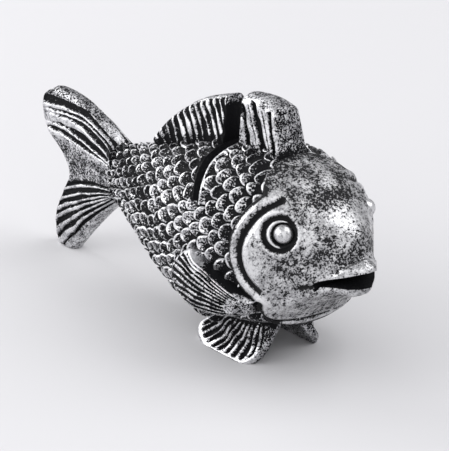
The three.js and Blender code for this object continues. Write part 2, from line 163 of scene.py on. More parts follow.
def through(points: Array | tuple, t: Array) -> Array:
    """Points at even lengths along a smooth line (centripetal Catmull-Rom) through the given points.

    Args:
        points: the given points, two numbers each.
        t: shares of the line's length, in one row.

    Returns:
        One row of points, with two numbers in the last axis.
    """
    given = np.asarray(points, float)
    count = len(given) - 1
    ends = np.vstack([2 * given[0] - given[1], given, 2 * given[-1] - given[-2]])
    gap = np.linalg.norm(np.diff(ends, axis=0), axis=1) ** 0.5
    u = np.linspace(0, 1, 41)[None, :, None]
    p0, p1, p2, p3 = (ends[i : count + i][:, None, :] for i in range(4))
    d0, d1, d2 = (gap[i : count + i][:, None, None] for i in range(3))
    m1 = ((p1 - p0) / d0 - (p2 - p0) / (d0 + d1) + (p2 - p1) / d1) * d1
    m2 = ((p2 - p1) / d1 - (p3 - p1) / (d1 + d2) + (p3 - p2) / d2) * d1
    step = 3 * u**2 - 2 * u**3
    line = ((1 - step) * p1 + (u**3 - 2 * u**2 + u) * m1 + step * p2 + (u**3 - u**2) * m2).reshape(-1, 2)
    run = np.concatenate([[0], np.cumsum(np.linalg.norm(np.diff(line, axis=0), axis=1))])
    return np.stack([np.interp(t * run[-1], run, line[:, k]) for k in (0, 1)], -1)


def from_line(x: Array, z: Array, points: list | tuple) -> Array:
    """Distance in the side view to the nearest of a chain of straight pieces.

    Args:
        x: places along the fish.
        z: heights.
        points: the chain's corners.

    Returns:
        The distance at each place.
    """
    nearest = np.full(np.shape(x), FAR)
    for (ax, az), (bx, bz) in zip(points[:-1], points[1:]):
        dx, dz = bx - ax, bz - az
        u = np.clip(((x - ax) * dx + (z - az) * dz) / (dx * dx + dz * dz), 0, 1)
        nearest = np.minimum(nearest, np.hypot(x - ax - u * dx, z - az - u * dz))
    return nearest


def rounded(distance: Array, reach: float) -> Array:
    """A quarter circle's rise from 0 at the rim to 1 at reach: sqrt(1 - (1 - d / reach)^2)."""
    return np.sqrt(np.clip(1.0 - (1.0 - np.clip(distance / reach, 0, 1)) ** 2, 0, 1))


def shares(rows: int, columns: int) -> tuple[Array, Array]:
    """A column and a row of shares from 0 to 1 that crowd at both ends: (1 - cos(pi u)) / 2."""
    s, t = ((1.0 - np.cos(np.linspace(0, np.pi, count))) / 2.0 for count in (rows, columns))
    return s[:, None], t[None]


def outward(rings: Array, middle: Array | list) -> Array:
    """Unit normals of rings of points: the cross product of the two directions of travel.

    Args:
        rings: the points, as rows x columns x 3.
        middle: what the normals point away from.

    Returns:
        The normals.
    """
    out = np.cross(np.roll(rings, -1, 1) - np.roll(rings, 1, 1), np.gradient(rings, axis=0))
    out /= np.maximum(np.linalg.norm(out, axis=-1, keepdims=True), 1e-12)
    return out * np.sign((out * (rings - middle)).sum(-1, keepdims=True))


# ------------------------------------------------------------ meshes


@dataclass
class Grid:
    """Vertices, faces and the values kept on the vertices of one closed form."""

    points: Array
    quads: Array
    triangles: Array
    marks: dict[str, Array] = field(default_factory=dict)
    patterns: dict[str, Array] = field(default_factory=dict)

    def __post_init__(self) -> None:
        """Turns all faces outwards, by the sign of the volume: the sum of the corners' triple products."""
        a, b, c, d = (self.points[self.quads[:, k]] for k in range(4))
        e, f, g = (self.points[self.triangles[:, k]] for k in range(3))
        volume = (a * np.cross(b, c)).sum() + (a * np.cross(c, d)).sum() + (e * np.cross(f, g)).sum()
        if volume < 0:
            self.quads, self.triangles = self.quads[:, ::-1], self.triangles[:, ::-1]


def tube(rings: Array, marks: dict[str, Array], patterns: dict[str, Array]) -> Grid:
    """A closed tube over rings, with each end drawn together in one point.

    Args:
        rings: the points, as rows x columns x 3.
        marks: values for the ring points, by name.
        patterns: pairs of pattern coordinates for the ring points, by name.

    Returns:
        The closed form.
    """
    count, wide = rings.shape[:2]

    def with_ends(values: Array) -> Array:
        """The ring values in one list, with the two end points' means after them."""
        return np.concatenate([values.reshape(count * wide, -1), values[[0, -1]].mean(1).reshape(2, -1)])

    here = np.arange(wide)
    there = (here + 1) % wide
    base = (np.arange(count - 1) * wide)[:, None]
    quads = np.stack([base + here, base + there, base + wide + there, base + wide + here], -1)
    first, edge = np.full(wide, count * wide), (count - 1) * wide
    ends = [np.stack([first, there, here], -1), np.stack([first + 1, edge + here, edge + there], -1)]
    kept = {name: with_ends(values)[:, 0] for name, values in marks.items()}
    pairs = {name: with_ends(values) for name, values in patterns.items()}
    return Grid(with_ends(rings), quads.reshape(-1, 4), np.concatenate(ends), kept, pairs)


def leaf(sheets: list[Array], marks: dict[str, tuple[Array, Array]]) -> Grid:
    """A closed leaf of two sheets that share their outermost points.

    Args:
        sheets: both sheets, as rows x columns x 3.
        marks: the values on both sheets, by name.

    Returns:
        The closed form.
    """
    count, wide = sheets[0].shape[:2]
    near = np.arange(count * wide).reshape(count, wide)
    far = near.copy()
    far[1:-1, 1:-1] = count * wide + np.arange((count - 2) * (wide - 2)).reshape(count - 2, wide - 2)

    def both(one: Array, other: Array) -> Array:
        """The first sheet's values, then the inner ones of the second."""
        inner = other[1:-1, 1:-1].reshape((count - 2) * (wide - 2), -1)
        return np.concatenate([one.reshape(count * wide, -1), inner])

    def faces(i: Array) -> Array:
        """Four corners for each cell of a sheet."""
        return np.stack([i[:-1, :-1], i[:-1, 1:], i[1:, 1:], i[1:, :-1]], -1).reshape(-1, 4)

    quads = np.concatenate([faces(near), faces(far)[:, ::-1]])
    kept = {name: both(*values)[:, 0] for name, values in marks.items()}
    return Grid(both(*sheets), quads, np.zeros((0, 3), int), kept)


def prism(outline: list | tuple, reach: float) -> Grid:
    """A prism right across the fish, with its ends closed by fans of triangles.

    Args:
        outline: its corners in the side view.
        reach: how far it goes to each side.

    Returns:
        The closed form.
    """
    count = len(outline)
    here = np.arange(count)
    there = (here + 1) % count
    walls = np.stack([here, there, there + count, here + count], -1)
    fan = np.stack([0 * here[2:], here[1:-1], here[2:]], -1)
    ends = [np.insert(np.asarray(outline, float), 1, side.value * reach, axis=1) for side in Side]
    return Grid(np.concatenate(ends), walls, np.concatenate([fan[:, ::-1], fan + count]))


@dataclass
class Workshop:
    """Makes objects of the fish from closed forms, in the shared frame."""

    shift: float  # millimetres from the fish's own X to the frame's X

    def metres(self, points: Array) -> Array:
        """The fish's millimetres as the frame's metres."""
        return (points + np.array([self.shift, 0.0, 0.0])) * MM

    def make(self, name: str, grid: Grid, *finishes: Material) -> Object:
        """Makes one object, at the origin, with smooth faces.

        Args:
            name: the piece's name.
            grid: its closed form.
            finishes: its materials; all faces get the first.

        Returns:
            The object.
        """
        mesh = bpy.data.meshes.new(name)
        mesh.vertices.add(len(grid.points))
        mesh.vertices.foreach_set("co", self.metres(grid.points).astype(np.float32).ravel())
        loops = np.concatenate([grid.quads.ravel(), grid.triangles.ravel()]).astype(np.int32)
        sizes = np.repeat(np.int32([4, 3]), [len(grid.quads), len(grid.triangles)])
        mesh.loops.add(len(loops))
        mesh.loops.foreach_set("vertex_index", loops)
        mesh.polygons.add(len(sizes))
        mesh.polygons.foreach_set("loop_start", (np.cumsum(sizes) - sizes).astype(np.int32))
        mesh.polygons.foreach_set("loop_total", sizes)
        mesh.polygons.foreach_set("use_smooth", np.ones(len(sizes), bool))
        mesh.update(calc_edges=True)
        for mark, values in grid.marks.items():
            layer = mesh.attributes.new(mark, "FLOAT", "POINT")
            layer.data.foreach_set("value", np.ascontiguousarray(values, np.float32))
        for uv_map, pairs in grid.patterns.items():
            layer = mesh.uv_layers.new(name=uv_map)
            layer.data.foreach_set("uv", pairs[loops].astype(np.float32).ravel())
        for finish in finishes:
            mesh.materials.append(finish)
        piece = bpy.data.objects.new(name, mesh)
        bpy.context.scene.collection.objects.link(piece)
        return piece

    def cut(self, piece: Object, cutter: Grid, lining: Material) -> Object:
        """Cuts a prism out of a piece, and gives the new walls the lining.

        Args:
            piece: the piece, dressed already.
            cutter: the prism.
            lining: the finish of the walls.

        Returns:
            The piece.
        """
        tool = self.make("cutter", cutter, lining)
        change = piece.modifiers.new("cut", "BOOLEAN")
        change.operation, change.solver, change.material_mode = "DIFFERENCE", "EXACT", "TRANSFER"
        change.object = tool
        mesh = bpy.data.meshes.new_from_object(piece.evaluated_get(bpy.context.evaluated_depsgraph_get()))
        piece.modifiers.clear()
        piece.data = mesh
        bpy.data.objects.remove(tool)
        return piece

    def cast(self, name: str, sheets: list[Array], relief: tuple, finish: "AntiqueSilver") -> Object:
        """Makes a fin from two sheets, polished as its relief says.

        Args:
            name: the fin's name.
            sheets: its two faces.
            relief: how far the polish got on both, with the painted highlight and shade that it carries in
                places.
            finish: the metal.

        Returns:
            The fin.
        """
        bench = Bench(name.replace("_", " "))
        metal = finish.dress(bench, bench.mark("relief"))
        return self.make(f"{name}_cast", leaf(sheets, {"relief": relief}), metal)


# ------------------------------------------------------------ shader nodes


@dataclass(eq=False)
class Wire:
    """A socket in a material's expression: the usual signs add Math nodes."""

    tree: bpy.types.NodeTree
    socket: bpy.types.NodeSocket

    def join(self, operation: str, *others: "Wire | float") -> "Wire":
        """Adds one Math node.

        Args:
            operation: its operation.
            others: what its sockets get after this value.

        Returns:
            Its output.
        """
        node = self.tree.nodes.new("ShaderNodeMath")
        node.operation = operation
        for socket, value in zip(node.inputs, (self, *others)):
            feed(self.tree, socket, value)
        return Wire(self.tree, node.outputs[0])

    __add__ = partialmethod(join, "ADD")
    __sub__ = partialmethod(join, "SUBTRACT")
    __mul__ = partialmethod(join, "MULTIPLY")
    __truediv__ = partialmethod(join, "DIVIDE")
    __pow__ = partialmethod(join, "POWER")
    __gt__ = partialmethod(join, "GREATER_THAN")
    floor = partialmethod(join, "FLOOR")
    round = partialmethod(join, "ROUND")
    sine = partialmethod(join, "SINE")
    at_least = partialmethod(join, "MAXIMUM")
    rest = partialmethod(join, "FLOORED_MODULO")

    def __rsub__(self, other: float) -> "Wire":
        """Difference from a number."""
        return self * -1.0 + other

    def step(self, low: float, high: float) -> "Wire":
        """The soft step of smoothstep(), as one Map Range node.

        Args:
            low: where it starts.
            high: where it ends.

        Returns:
            The step.
        """
        node = self.tree.nodes.new("ShaderNodeMapRange")
        node.interpolation_type = "SMOOTHSTEP"
        feed(self.tree, node.inputs[0], self)
        numbers = (low, high, 0.0, 1.0) if high > low else (high, low, 1.0, 0.0)
        for socket, value in zip(node.inputs[1:5], numbers):
            socket.default_value = value
        return Wire(self.tree, node.outputs[0])


class Field(np.ndarray):
    """An array with the methods of a wire, so that one formula serves both a mesh and its shader."""

    def floor(self) -> "Field":
        """Rounded down."""
        return np.floor(self)

    def sine(self) -> "Field":
        """The sine."""
        return np.sin(self)

    def at_least(self, low: float) -> "Field":
        """Raised to low where it is less."""
        return np.maximum(self, low)

    def rest(self, whole: float) -> "Field":
        """What is left over of it after whole steps."""
        return self % whole


def feed(tree: bpy.types.NodeTree, socket: bpy.types.NodeSocket, value: Wire | float | tuple) -> None:
    """Links a wire to a socket, or sets the socket to a number or colour.

    Args:
        tree: the material's nodes.
        socket: the socket that is fed.
        value: what it gets.
    """
    if isinstance(value, Wire):
        tree.links.new(value.socket, socket)
    else:
        socket.default_value = value


class Bench:
    """Where the nodes of one material are put together."""

    def __init__(self, name: str) -> None:
        """Starts an empty material.

        Args:
            name: the material's name.
        """
        self.material = bpy.data.materials.new(name)
        self.material.use_nodes = True
        self.tree = self.material.node_tree
        self.tree.nodes.clear()

    def node(self, kind: str, sockets: dict | None = None, output: int | str = 0, **settings: str) -> Wire:
        """Adds any node.

        Args:
            kind: the node's type, without "ShaderNode".
            sockets: what its sockets get, by name or number.
            output: the output that is wanted.
            settings: its own settings, such as an operation, which are set first.

        Returns:
            That output.
        """
        node = self.tree.nodes.new("ShaderNode" + kind)
        for key, value in settings.items():
            setattr(node, key, value)
        for key, value in (sockets or {}).items():
            feed(self.tree, node.inputs[key], value)
        return Wire(self.tree, node.outputs[output])

    def place(self) -> Wire:
        """Object coordinates, in millimetres."""
        metres = self.node("TexCoord", output="Object")
        return self.node("VectorMath", {0: metres, "Scale": 1 / MM}, operation="SCALE")

    def mark(self, name: str) -> Wire:
        """A value kept on the piece's vertices."""
        return self.node("Attribute", output="Fac", attribute_name=name)

    def pair(self, uv_map: str) -> list[Wire]:
        """Both coordinates of a UV map."""
        place = self.node("UVMap", uv_map=uv_map)
        return [self.node("SeparateXYZ", {0: place}, output) for output in (0, 1)]

    def noise(self, place: Wire, size: float, detail: float = 2.0) -> Wire:
        """Cloudy noise around zero, about -1 to 1, with lumps of the given size."""
        sockets = {"Vector": place, "Scale": 1.0 / size, "Detail": detail, "Roughness": 0.6}
        return (self.node("TexNoise", sockets) - 0.5) * 4.0

    def streaks(self, turn: tuple, scale: tuple, size: float) -> Wire:
        """Noise with a grain: the place is turned and then drawn out before it is read."""
        turned = self.node("Mapping", {"Vector": self.place(), "Rotation": turn})
        return self.noise(self.node("Mapping", {"Vector": turned, "Scale": scale}), size)

    def shade(self, mask: Wire, low: tuple | Wire, high: tuple | Wire) -> Wire:
        """A colour between two, by a mask."""
        return self.node("Mix", {"Factor": mask, 6: low, 7: high}, 2, data_type="RGBA")

    def finish(self, sockets: dict, height: Wire | None = None) -> Material:
        """Closes the material with the principled shader.

        Args:
            sockets: what the shader's sockets get.
            height: a bump's height in millimetres, if there is one.

        Returns:
            The material.
        """
        if height is not None:
            bump = self.node("Bump", {"Strength": 1.0, "Distance": MM, "Height": height})
            sockets = {**sockets, "Normal": bump}
        out = self.tree.nodes.new("ShaderNodeOutputMaterial")
        feed(self.tree, out.inputs["Surface"], self.node("BsdfPrincipled", sockets))
        return self.material


# ------------------------------------------------------------ finishes


@dataclass(frozen=True)
class AntiqueSilver:
    """Silver plate, blackened all over and polished back where a cloth reaches.

    The piece's relief says how far the polish got: -1 stays black, 1 is bare silver. In places it also
    carries painted highlights and painted shade.
    """

    silver: tuple = (0.80, 0.80, 0.815, 1.0)
    shadow: tuple = (0.30, 0.30, 0.315, 1.0)
    patina: tuple = (0.007, 0.007, 0.008, 1.0)
    silver_roughness: float = 0.34
    patina_roughness: float = 0.5
    blotches: float = 0.20
    grains: float = 0.48
    specks: float = 0.54
    blotch_size: float = 1.5
    grain_size: float = 0.42
    speck_size: float = 0.21
    edge: float = 0.07  # how softly bare silver turns into patina
    depth: float = 0.05  # how far the polished parts stand up, in millimetres
    metallic: float = 0.96
    specular: float = 0.05
    uneven: float = 0.04  # how much the specks change the roughness

    def dress(self, bench: Bench, relief: Wire, form: Wire | float = 0.0) -> Material:
        """Polishes the relief back through three sizes of noise.

        Args:
            bench: an empty material.
            relief: how far the polish got.
            form: height of fine forms in millimetres, for the bump.

        Returns:
            The material.
        """
        place = bench.place()
        blotch = bench.noise(place, self.blotch_size)
        grain = bench.noise(place, self.grain_size, 3.0)
        speck = bench.noise(place, self.speck_size, 1.0)
        polish_and_painted_light = relief + blotch * self.blotches + grain * self.grains + speck * self.specks
        bare = polish_and_painted_light.step(-self.edge, self.edge)
        tone = (polish_and_painted_light * 0.6 + blotch * 0.3).step(-0.1, 0.75)
        colour = bench.shade(bare, self.patina, bench.shade(tone, self.shadow, self.silver))
        rough = bare * (self.silver_roughness - self.patina_roughness) + self.patina_roughness
        rough = rough + speck * self.uneven
        sockets = {"Base Color": colour, "Metallic": bare * self.metallic, "Roughness": rough}
        height = (bare * 0.5 + grain * 0.25 + speck * 0.2) * self.depth + form
        return bench.finish({**sockets, "Specular IOR Level": self.specular}, height)


@dataclass(frozen=True)
class BrushedHead:
    """The head's silver: brushed from the nape to the nose, with patina left in the brush lines."""

    metal: AntiqueSilver = AntiqueSilver(
        silver=(0.70, 0.70, 0.71, 1.0), shadow=(0.30, 0.30, 0.31, 1.0), patina=(0.016, 0.016, 0.017, 1.0),
        silver_roughness=0.37, blotches=0.36, grains=0.54, specks=0.54, blotch_size=2.4, grain_size=0.44,
        edge=0.17,
    )
    lines: float = 0.46
    line_size: float = 0.7
    line_turn: tuple = (0.0, 0.75, 0.2)
    line_stretch: tuple = (0.28, 1.6, 2.2)

    def dress(self, bench: Bench) -> Material:
        """Adds long thin noise to the head's relief."""
        lines = bench.streaks(self.line_turn, self.line_stretch, self.line_size)
        return self.metal.dress(bench, bench.mark("relief") + lines * self.lines)


@dataclass(frozen=True)
class PolishedSilver:
    """The eye beads: bright silver, duller in cloudy spots."""

    silver: tuple = (0.66, 0.66, 0.67, 1.0)
    dull: tuple = (0.34, 0.34, 0.35, 1.0)
    roughness: float = 0.36
    cloud_size: float = 0.8
    speck_size: float = 0.2

    def dress(self, bench: Bench) -> Material:
        """Mixes the two silvers by clouds and specks.

        Args:
            bench: an empty material.

        Returns:
            The material.
        """
        place = bench.place()
        cloud, speck = bench.noise(place, self.cloud_size), bench.noise(place, self.speck_size, 1.0)
        colour = bench.shade((cloud + speck * 0.5).step(-0.9, 0.2), self.dull, self.silver)
        sockets = {"Base Color": colour, "Metallic": 1.0, "Roughness": speck * 0.04 + self.roughness}
        return bench.finish(sockets, cloud * 0.012 + speck * 0.004)


@dataclass(frozen=True)
class Recess:
    """The walls of the slot and the mouth: patina that no cloth reaches."""

    patina: tuple = (0.005, 0.005, 0.006, 1.0)
    dust: tuple = (0.014, 0.014, 0.015, 1.0)
    grain_size: float = 0.4
    roughness: float = 0.7
    specular: float = 0.04

    def dress(self, bench: Bench) -> Material:
        """Nearly black, with a faint grain.

        Args:
            bench: an empty material.

        Returns:
            The material.
        """
        grain = bench.noise(bench.place(), self.grain_size)
        colour = bench.shade(grain.step(0.0, 1.2), self.patina, self.dust)
        sockets = {"Base Color": colour, "Roughness": self.roughness, "Specular IOR Level": self.specular}
        return bench.finish(sockets, grain * 0.02)


@dataclass(frozen=True)
class ScalePattern:
    """The scales' fine relief, read from the lattice that the trunk keeps as its pattern.

    Each scale ends in a half ellipse behind its row's line, bow rows long and a column wide. Its
    number gives it a length and a lean of its own, through sines of that number.
    """

    bow: float = 0.55
    size: float = 1.08  # half the width of a scale in millimetres
    luck: float = 0.22  # how much the scales' lengths and leans vary

    def scale(self, row: Wire | Field, column: Wire | Field, line: Wire | Field) -> tuple:
        """One row's scale at a place.

        Args:
            row: row coordinate.
            column: column coordinate.
            line: the row's number.

        Returns:
            Way across it from -1 to 1, way along its end from 0 to 1, and its luck from -1 to 1.
        """
        offset = column + line.rest(2.0) * 0.5
        number = offset.round()
        aside = (offset - number) * 2.0
        luck = (line * 12.1 + number * 7.7 + 3.0).sine()
        lean = (line * 5.3 + number * 9.1).sine()
        across = aside + lean * (1.0 - aside * aside) * self.luck
        return across, (row - line).at_least(0.0) / (luck * (self.luck * self.bow) + self.bow), luck

    def shown(self, row: Wire | Field, column: Wire | Field) -> tuple:
        """The scale that shows at a place: the one of its own row, or of the next row past its end.

        Args:
            row: row coordinate.
            column: column coordinate.

        Returns:
            Its row's number, way across it, way along it, way from its middle (1 at its end), its luck,
            and the distance in millimetres from the end of the scale before it.
        """
        line = row.floor()
        across, along, _ = self.scale(row, column, line)
        own = line + (along * along + across * across > 1.0)
        across, along, luck = self.scale(row, column, own)
        over, past, _ = self.scale(row, column, own - 1.0)
        far = ((over * over + past * past) ** 0.5 - 1.0) * self.size
        return own, across, along, (along * along + across * across) ** 0.5, luck, far

    def relief(self, bench: Bench, zone: Wire) -> tuple[Wire, Wire]:
        """How far the polish got on the scales: bright along the free edges, black in the gaps, with a
        painted highlight and painted shade beside the slot.

        Args:
            bench: the material in hand.
            zone: how far the polish got in this part of the trunk.

        Returns:
            The relief, and the height in millimetres for the bump.
        """
        row, column = bench.pair("pattern")
        own, _, along, away, luck, far = self.shown(row, column)
        near = (1.0 - away) * self.size
        # a bright rim, thicker at the tip, round a pad with fine lines along it
        thick = along / (away + 0.01) * 0.28 + 0.20 + zone * 0.25
        rim = 1.0 - (near / thick).step(0.75, 1.2)
        pad = (far / (far + near.at_least(0.02))).step(0.15, 0.85)
        lines = bench.noise(bench.node("CombineXYZ", {0: row * 1.6, 1: column * 13.0, 2: own}), 1.0, 1.0)
        relief = mix(zone + luck * 0.22 + pad * 0.85 + lines * 0.32 - 0.87, 0.85, rim)
        gap = near.step(0.12, 0.02).at_least(far.step(0.55, 0.15))
        form = near.step(0.0, 0.22) * 0.12 - near.step(0.28, 0.62) * 0.07 + lines * 0.012
        # no scales on the throat; ahead of the slot a rubbed edge with a painted highlight, behind it a black
        # band of patina and painted shade
        plain = zone.step(-0.35, -0.7)
        relief = mix(relief - gap * 2.0, -0.16, plain)
        ahead, behind = bench.pair("walls")
        relief = mix(relief, 0.6, ahead.step(-0.05, 0.02) * ahead.step(0.42, 0.22))
        relief = mix(relief, -1.2, behind.step(-0.75, -0.25) * behind.step(0.3, 0.1))
        return relief, form * (1.0 - plain)


# ------------------------------------------------------------ the plain body


@dataclass
class BodyShape:
    """Trunk and head without scales, lips and grooves: a squarish oval section along the fish."""

    length: float = 51.4
    height: float = 26.3
    width: float = 21.6
    snout: float = 20.4
    belly_above_table: float = 1.9
    share: tuple = (0, 0.117, 0.253, 0.409, 0.564, 0.681, 0.778, 0.856, 0.924, 0.973, 1)
    back: tuple = (0.627, 0.7, 0.802, 0.909, 0.985, 1, 0.935, 0.856, 0.764, 0.673, 0.612)
    belly: tuple = (0.331, 0.243, 0.133, 0.042, 0, 0.046, 0.156, 0.262, 0.346, 0.414, 0.456)
    broad: tuple = (0.213, 0.398, 0.62, 0.861, 1, 0.991, 0.88, 0.639, 0.37, 0.194, 0.102)
    widest: float = 0.48
    power: float = 2.3

    def __post_init__(self) -> None:
        """Makes the smooth lines along the fish."""
        self.tail_end = self.snout - self.length
        xs = [self.tail_end + s * self.length for s in self.share]
        self.back_line = Smooth(xs, [s * self.height + self.belly_above_table for s in self.back])
        self.belly_line = Smooth(xs, [s * self.height + self.belly_above_table for s in self.belly])
        self.half_width = Smooth(xs, [s * self.width / 2 for s in self.broad])

    def section(self, x: Array, grow: float | Array = 0.0) -> tuple[Array, Array, Array, Array]:
        """Back, belly, half width and widest level at x, grown all round."""
        back, belly = self.back_line(x) + grow, self.belly_line(x) - grow
        return back, belly, self.half_width(x) + grow, belly + (back - belly) * self.widest

    def flank(self, x: Array, z: Array, grow: float | Array = 0.0) -> Array:
        """Distance from the middle plane to the flank: half (1 - level^p)^(1/p).

        Args:
            x: places along the fish.
            z: heights.
            grow: how much the body is grown all round.

        Returns:
            The distance at each place.
        """
        back, belly, half, mid = self.section(x, grow)
        level = np.abs(z - mid) / np.where(z > mid, back - mid, mid - belly)
        return half * np.maximum(0, 1 - level**self.power) ** (1 / self.power)

    def rings(self, x: Array, columns: int) -> tuple[Array, Array]:
        """Rings at even girth: belly, right flank, back, left flank.

        The section is half cos^(2/p) wide and sin^(2/p) high over an even angle; its length is summed
        and read off again at even steps, for all rings in one go.

        Args:
            x: places of the rings.
            columns: points in a ring.

        Returns:
            The points, and for each the girth in millimetres above the middle of its flank.
        """
        angle = np.linspace(-0.5, 0.5, 801) * np.pi
        back, belly, half, mid = (v[:, None] for v in self.section(x))
        rise = np.sin(angle)
        tall = np.where(rise > 0, back - mid, mid - belly)
        z = mid + tall * np.sign(rise) * np.abs(rise) ** (2 / self.power)
        y = half * np.abs(np.cos(angle)) ** (2 / self.power)
        y[:, [0, -1]] = 0
        run = np.concatenate([0 * x[:, None], np.cumsum(np.hypot(np.diff(y), np.diff(z)), 1)], 1)
        lift = np.arange(len(x))[:, None] * (run.max() + 1)
        wanted = np.linspace(0, 1, columns // 2 + 1)[None] * run[:, -1:]
        at, known = (wanted + lift).ravel(), (run + lift).ravel()
        y, z = (np.interp(at, known, v.ravel()).reshape(wanted.shape) for v in (y, z))
        right = np.stack([np.broadcast_to(x[:, None], wanted.shape), -y, z], -1)
        girth = wanted - run[:, len(angle) // 2, None]
        left = right[:, -2:0:-1] * np.array([1, -1, 1])
        return np.concatenate([right, left], 1), np.concatenate([girth, girth[:, -2:0:-1]], 1)


@dataclass
class HeadLine:
    """Where the smooth head ends and the scales start: nape, gill arc, throat."""

    centre: tuple = (14.3, 18.9)
    radius: float = 9.2
    start: float = 139.0  # degrees from the way forward
    end: float = 230.0
    nape: tuple = (4.7, 29.2)
    throat: tuple = (9.6, 1.9)

    def polar(self, x: Array, z: Array) -> tuple[Array, Array]:
        """Distance from the gill arc's centre, and angle in degrees from the way forward."""
        x, z = x - self.centre[0], z - self.centre[1]
        return np.hypot(x, z), np.degrees(np.arctan2(z, x) % (2 * np.pi))

    def inside(self, x: Array, z: Array) -> Array:
        """Distance to the line, more than 0 on the head's side.

        Args:
            x: places along the fish.
            z: heights.

        Returns:
            The signed distance in the side view.
        """
        ends = np.radians([self.start, self.end])
        top, low = np.stack([np.cos(ends), np.sin(ends)], -1) * self.radius + self.centre
        radius, angle = self.polar(x, z)
        arc = np.where((angle > self.start) & (angle < self.end), np.abs(radius - self.radius), FAR)
        lines = np.minimum(from_line(x, z, [self.nape, top]), from_line(x, z, [low, self.throat]))
        upper = mix(top[0], self.nape[0], (z - top[1]) / (self.nape[1] - top[1]))
        lower = mix(low[0], self.throat[0], (z - low[1]) / (self.throat[1] - low[1]))
        reach = np.sqrt(np.maximum(self.radius**2 - (z - self.centre[1]) ** 2, 0))
        edge = np.where(z > top[1], upper, np.where(z < low[1], lower, self.centre[0] - reach))
        return np.minimum(arc, lines) * np.sign(x - edge)


@dataclass(frozen=True)
class Patch:
    """A cloudy patch in the side view that the cloth polished more, or less where more is below 0; some of
    them also paint in a highlight.
    """

    more: float
    x: float
    z: float
    long: float
    tall: float

    def at(self, x: Array, z: Array) -> Array:
        """What the patch adds to the relief: more exp(-(dx / long)^2 - (dz / tall)^2)."""
        return self.more * hump(np.hypot((x - self.x) / self.long, (z - self.z) / self.tall), 1.0)


# ------------------------------------------------------------ trunk


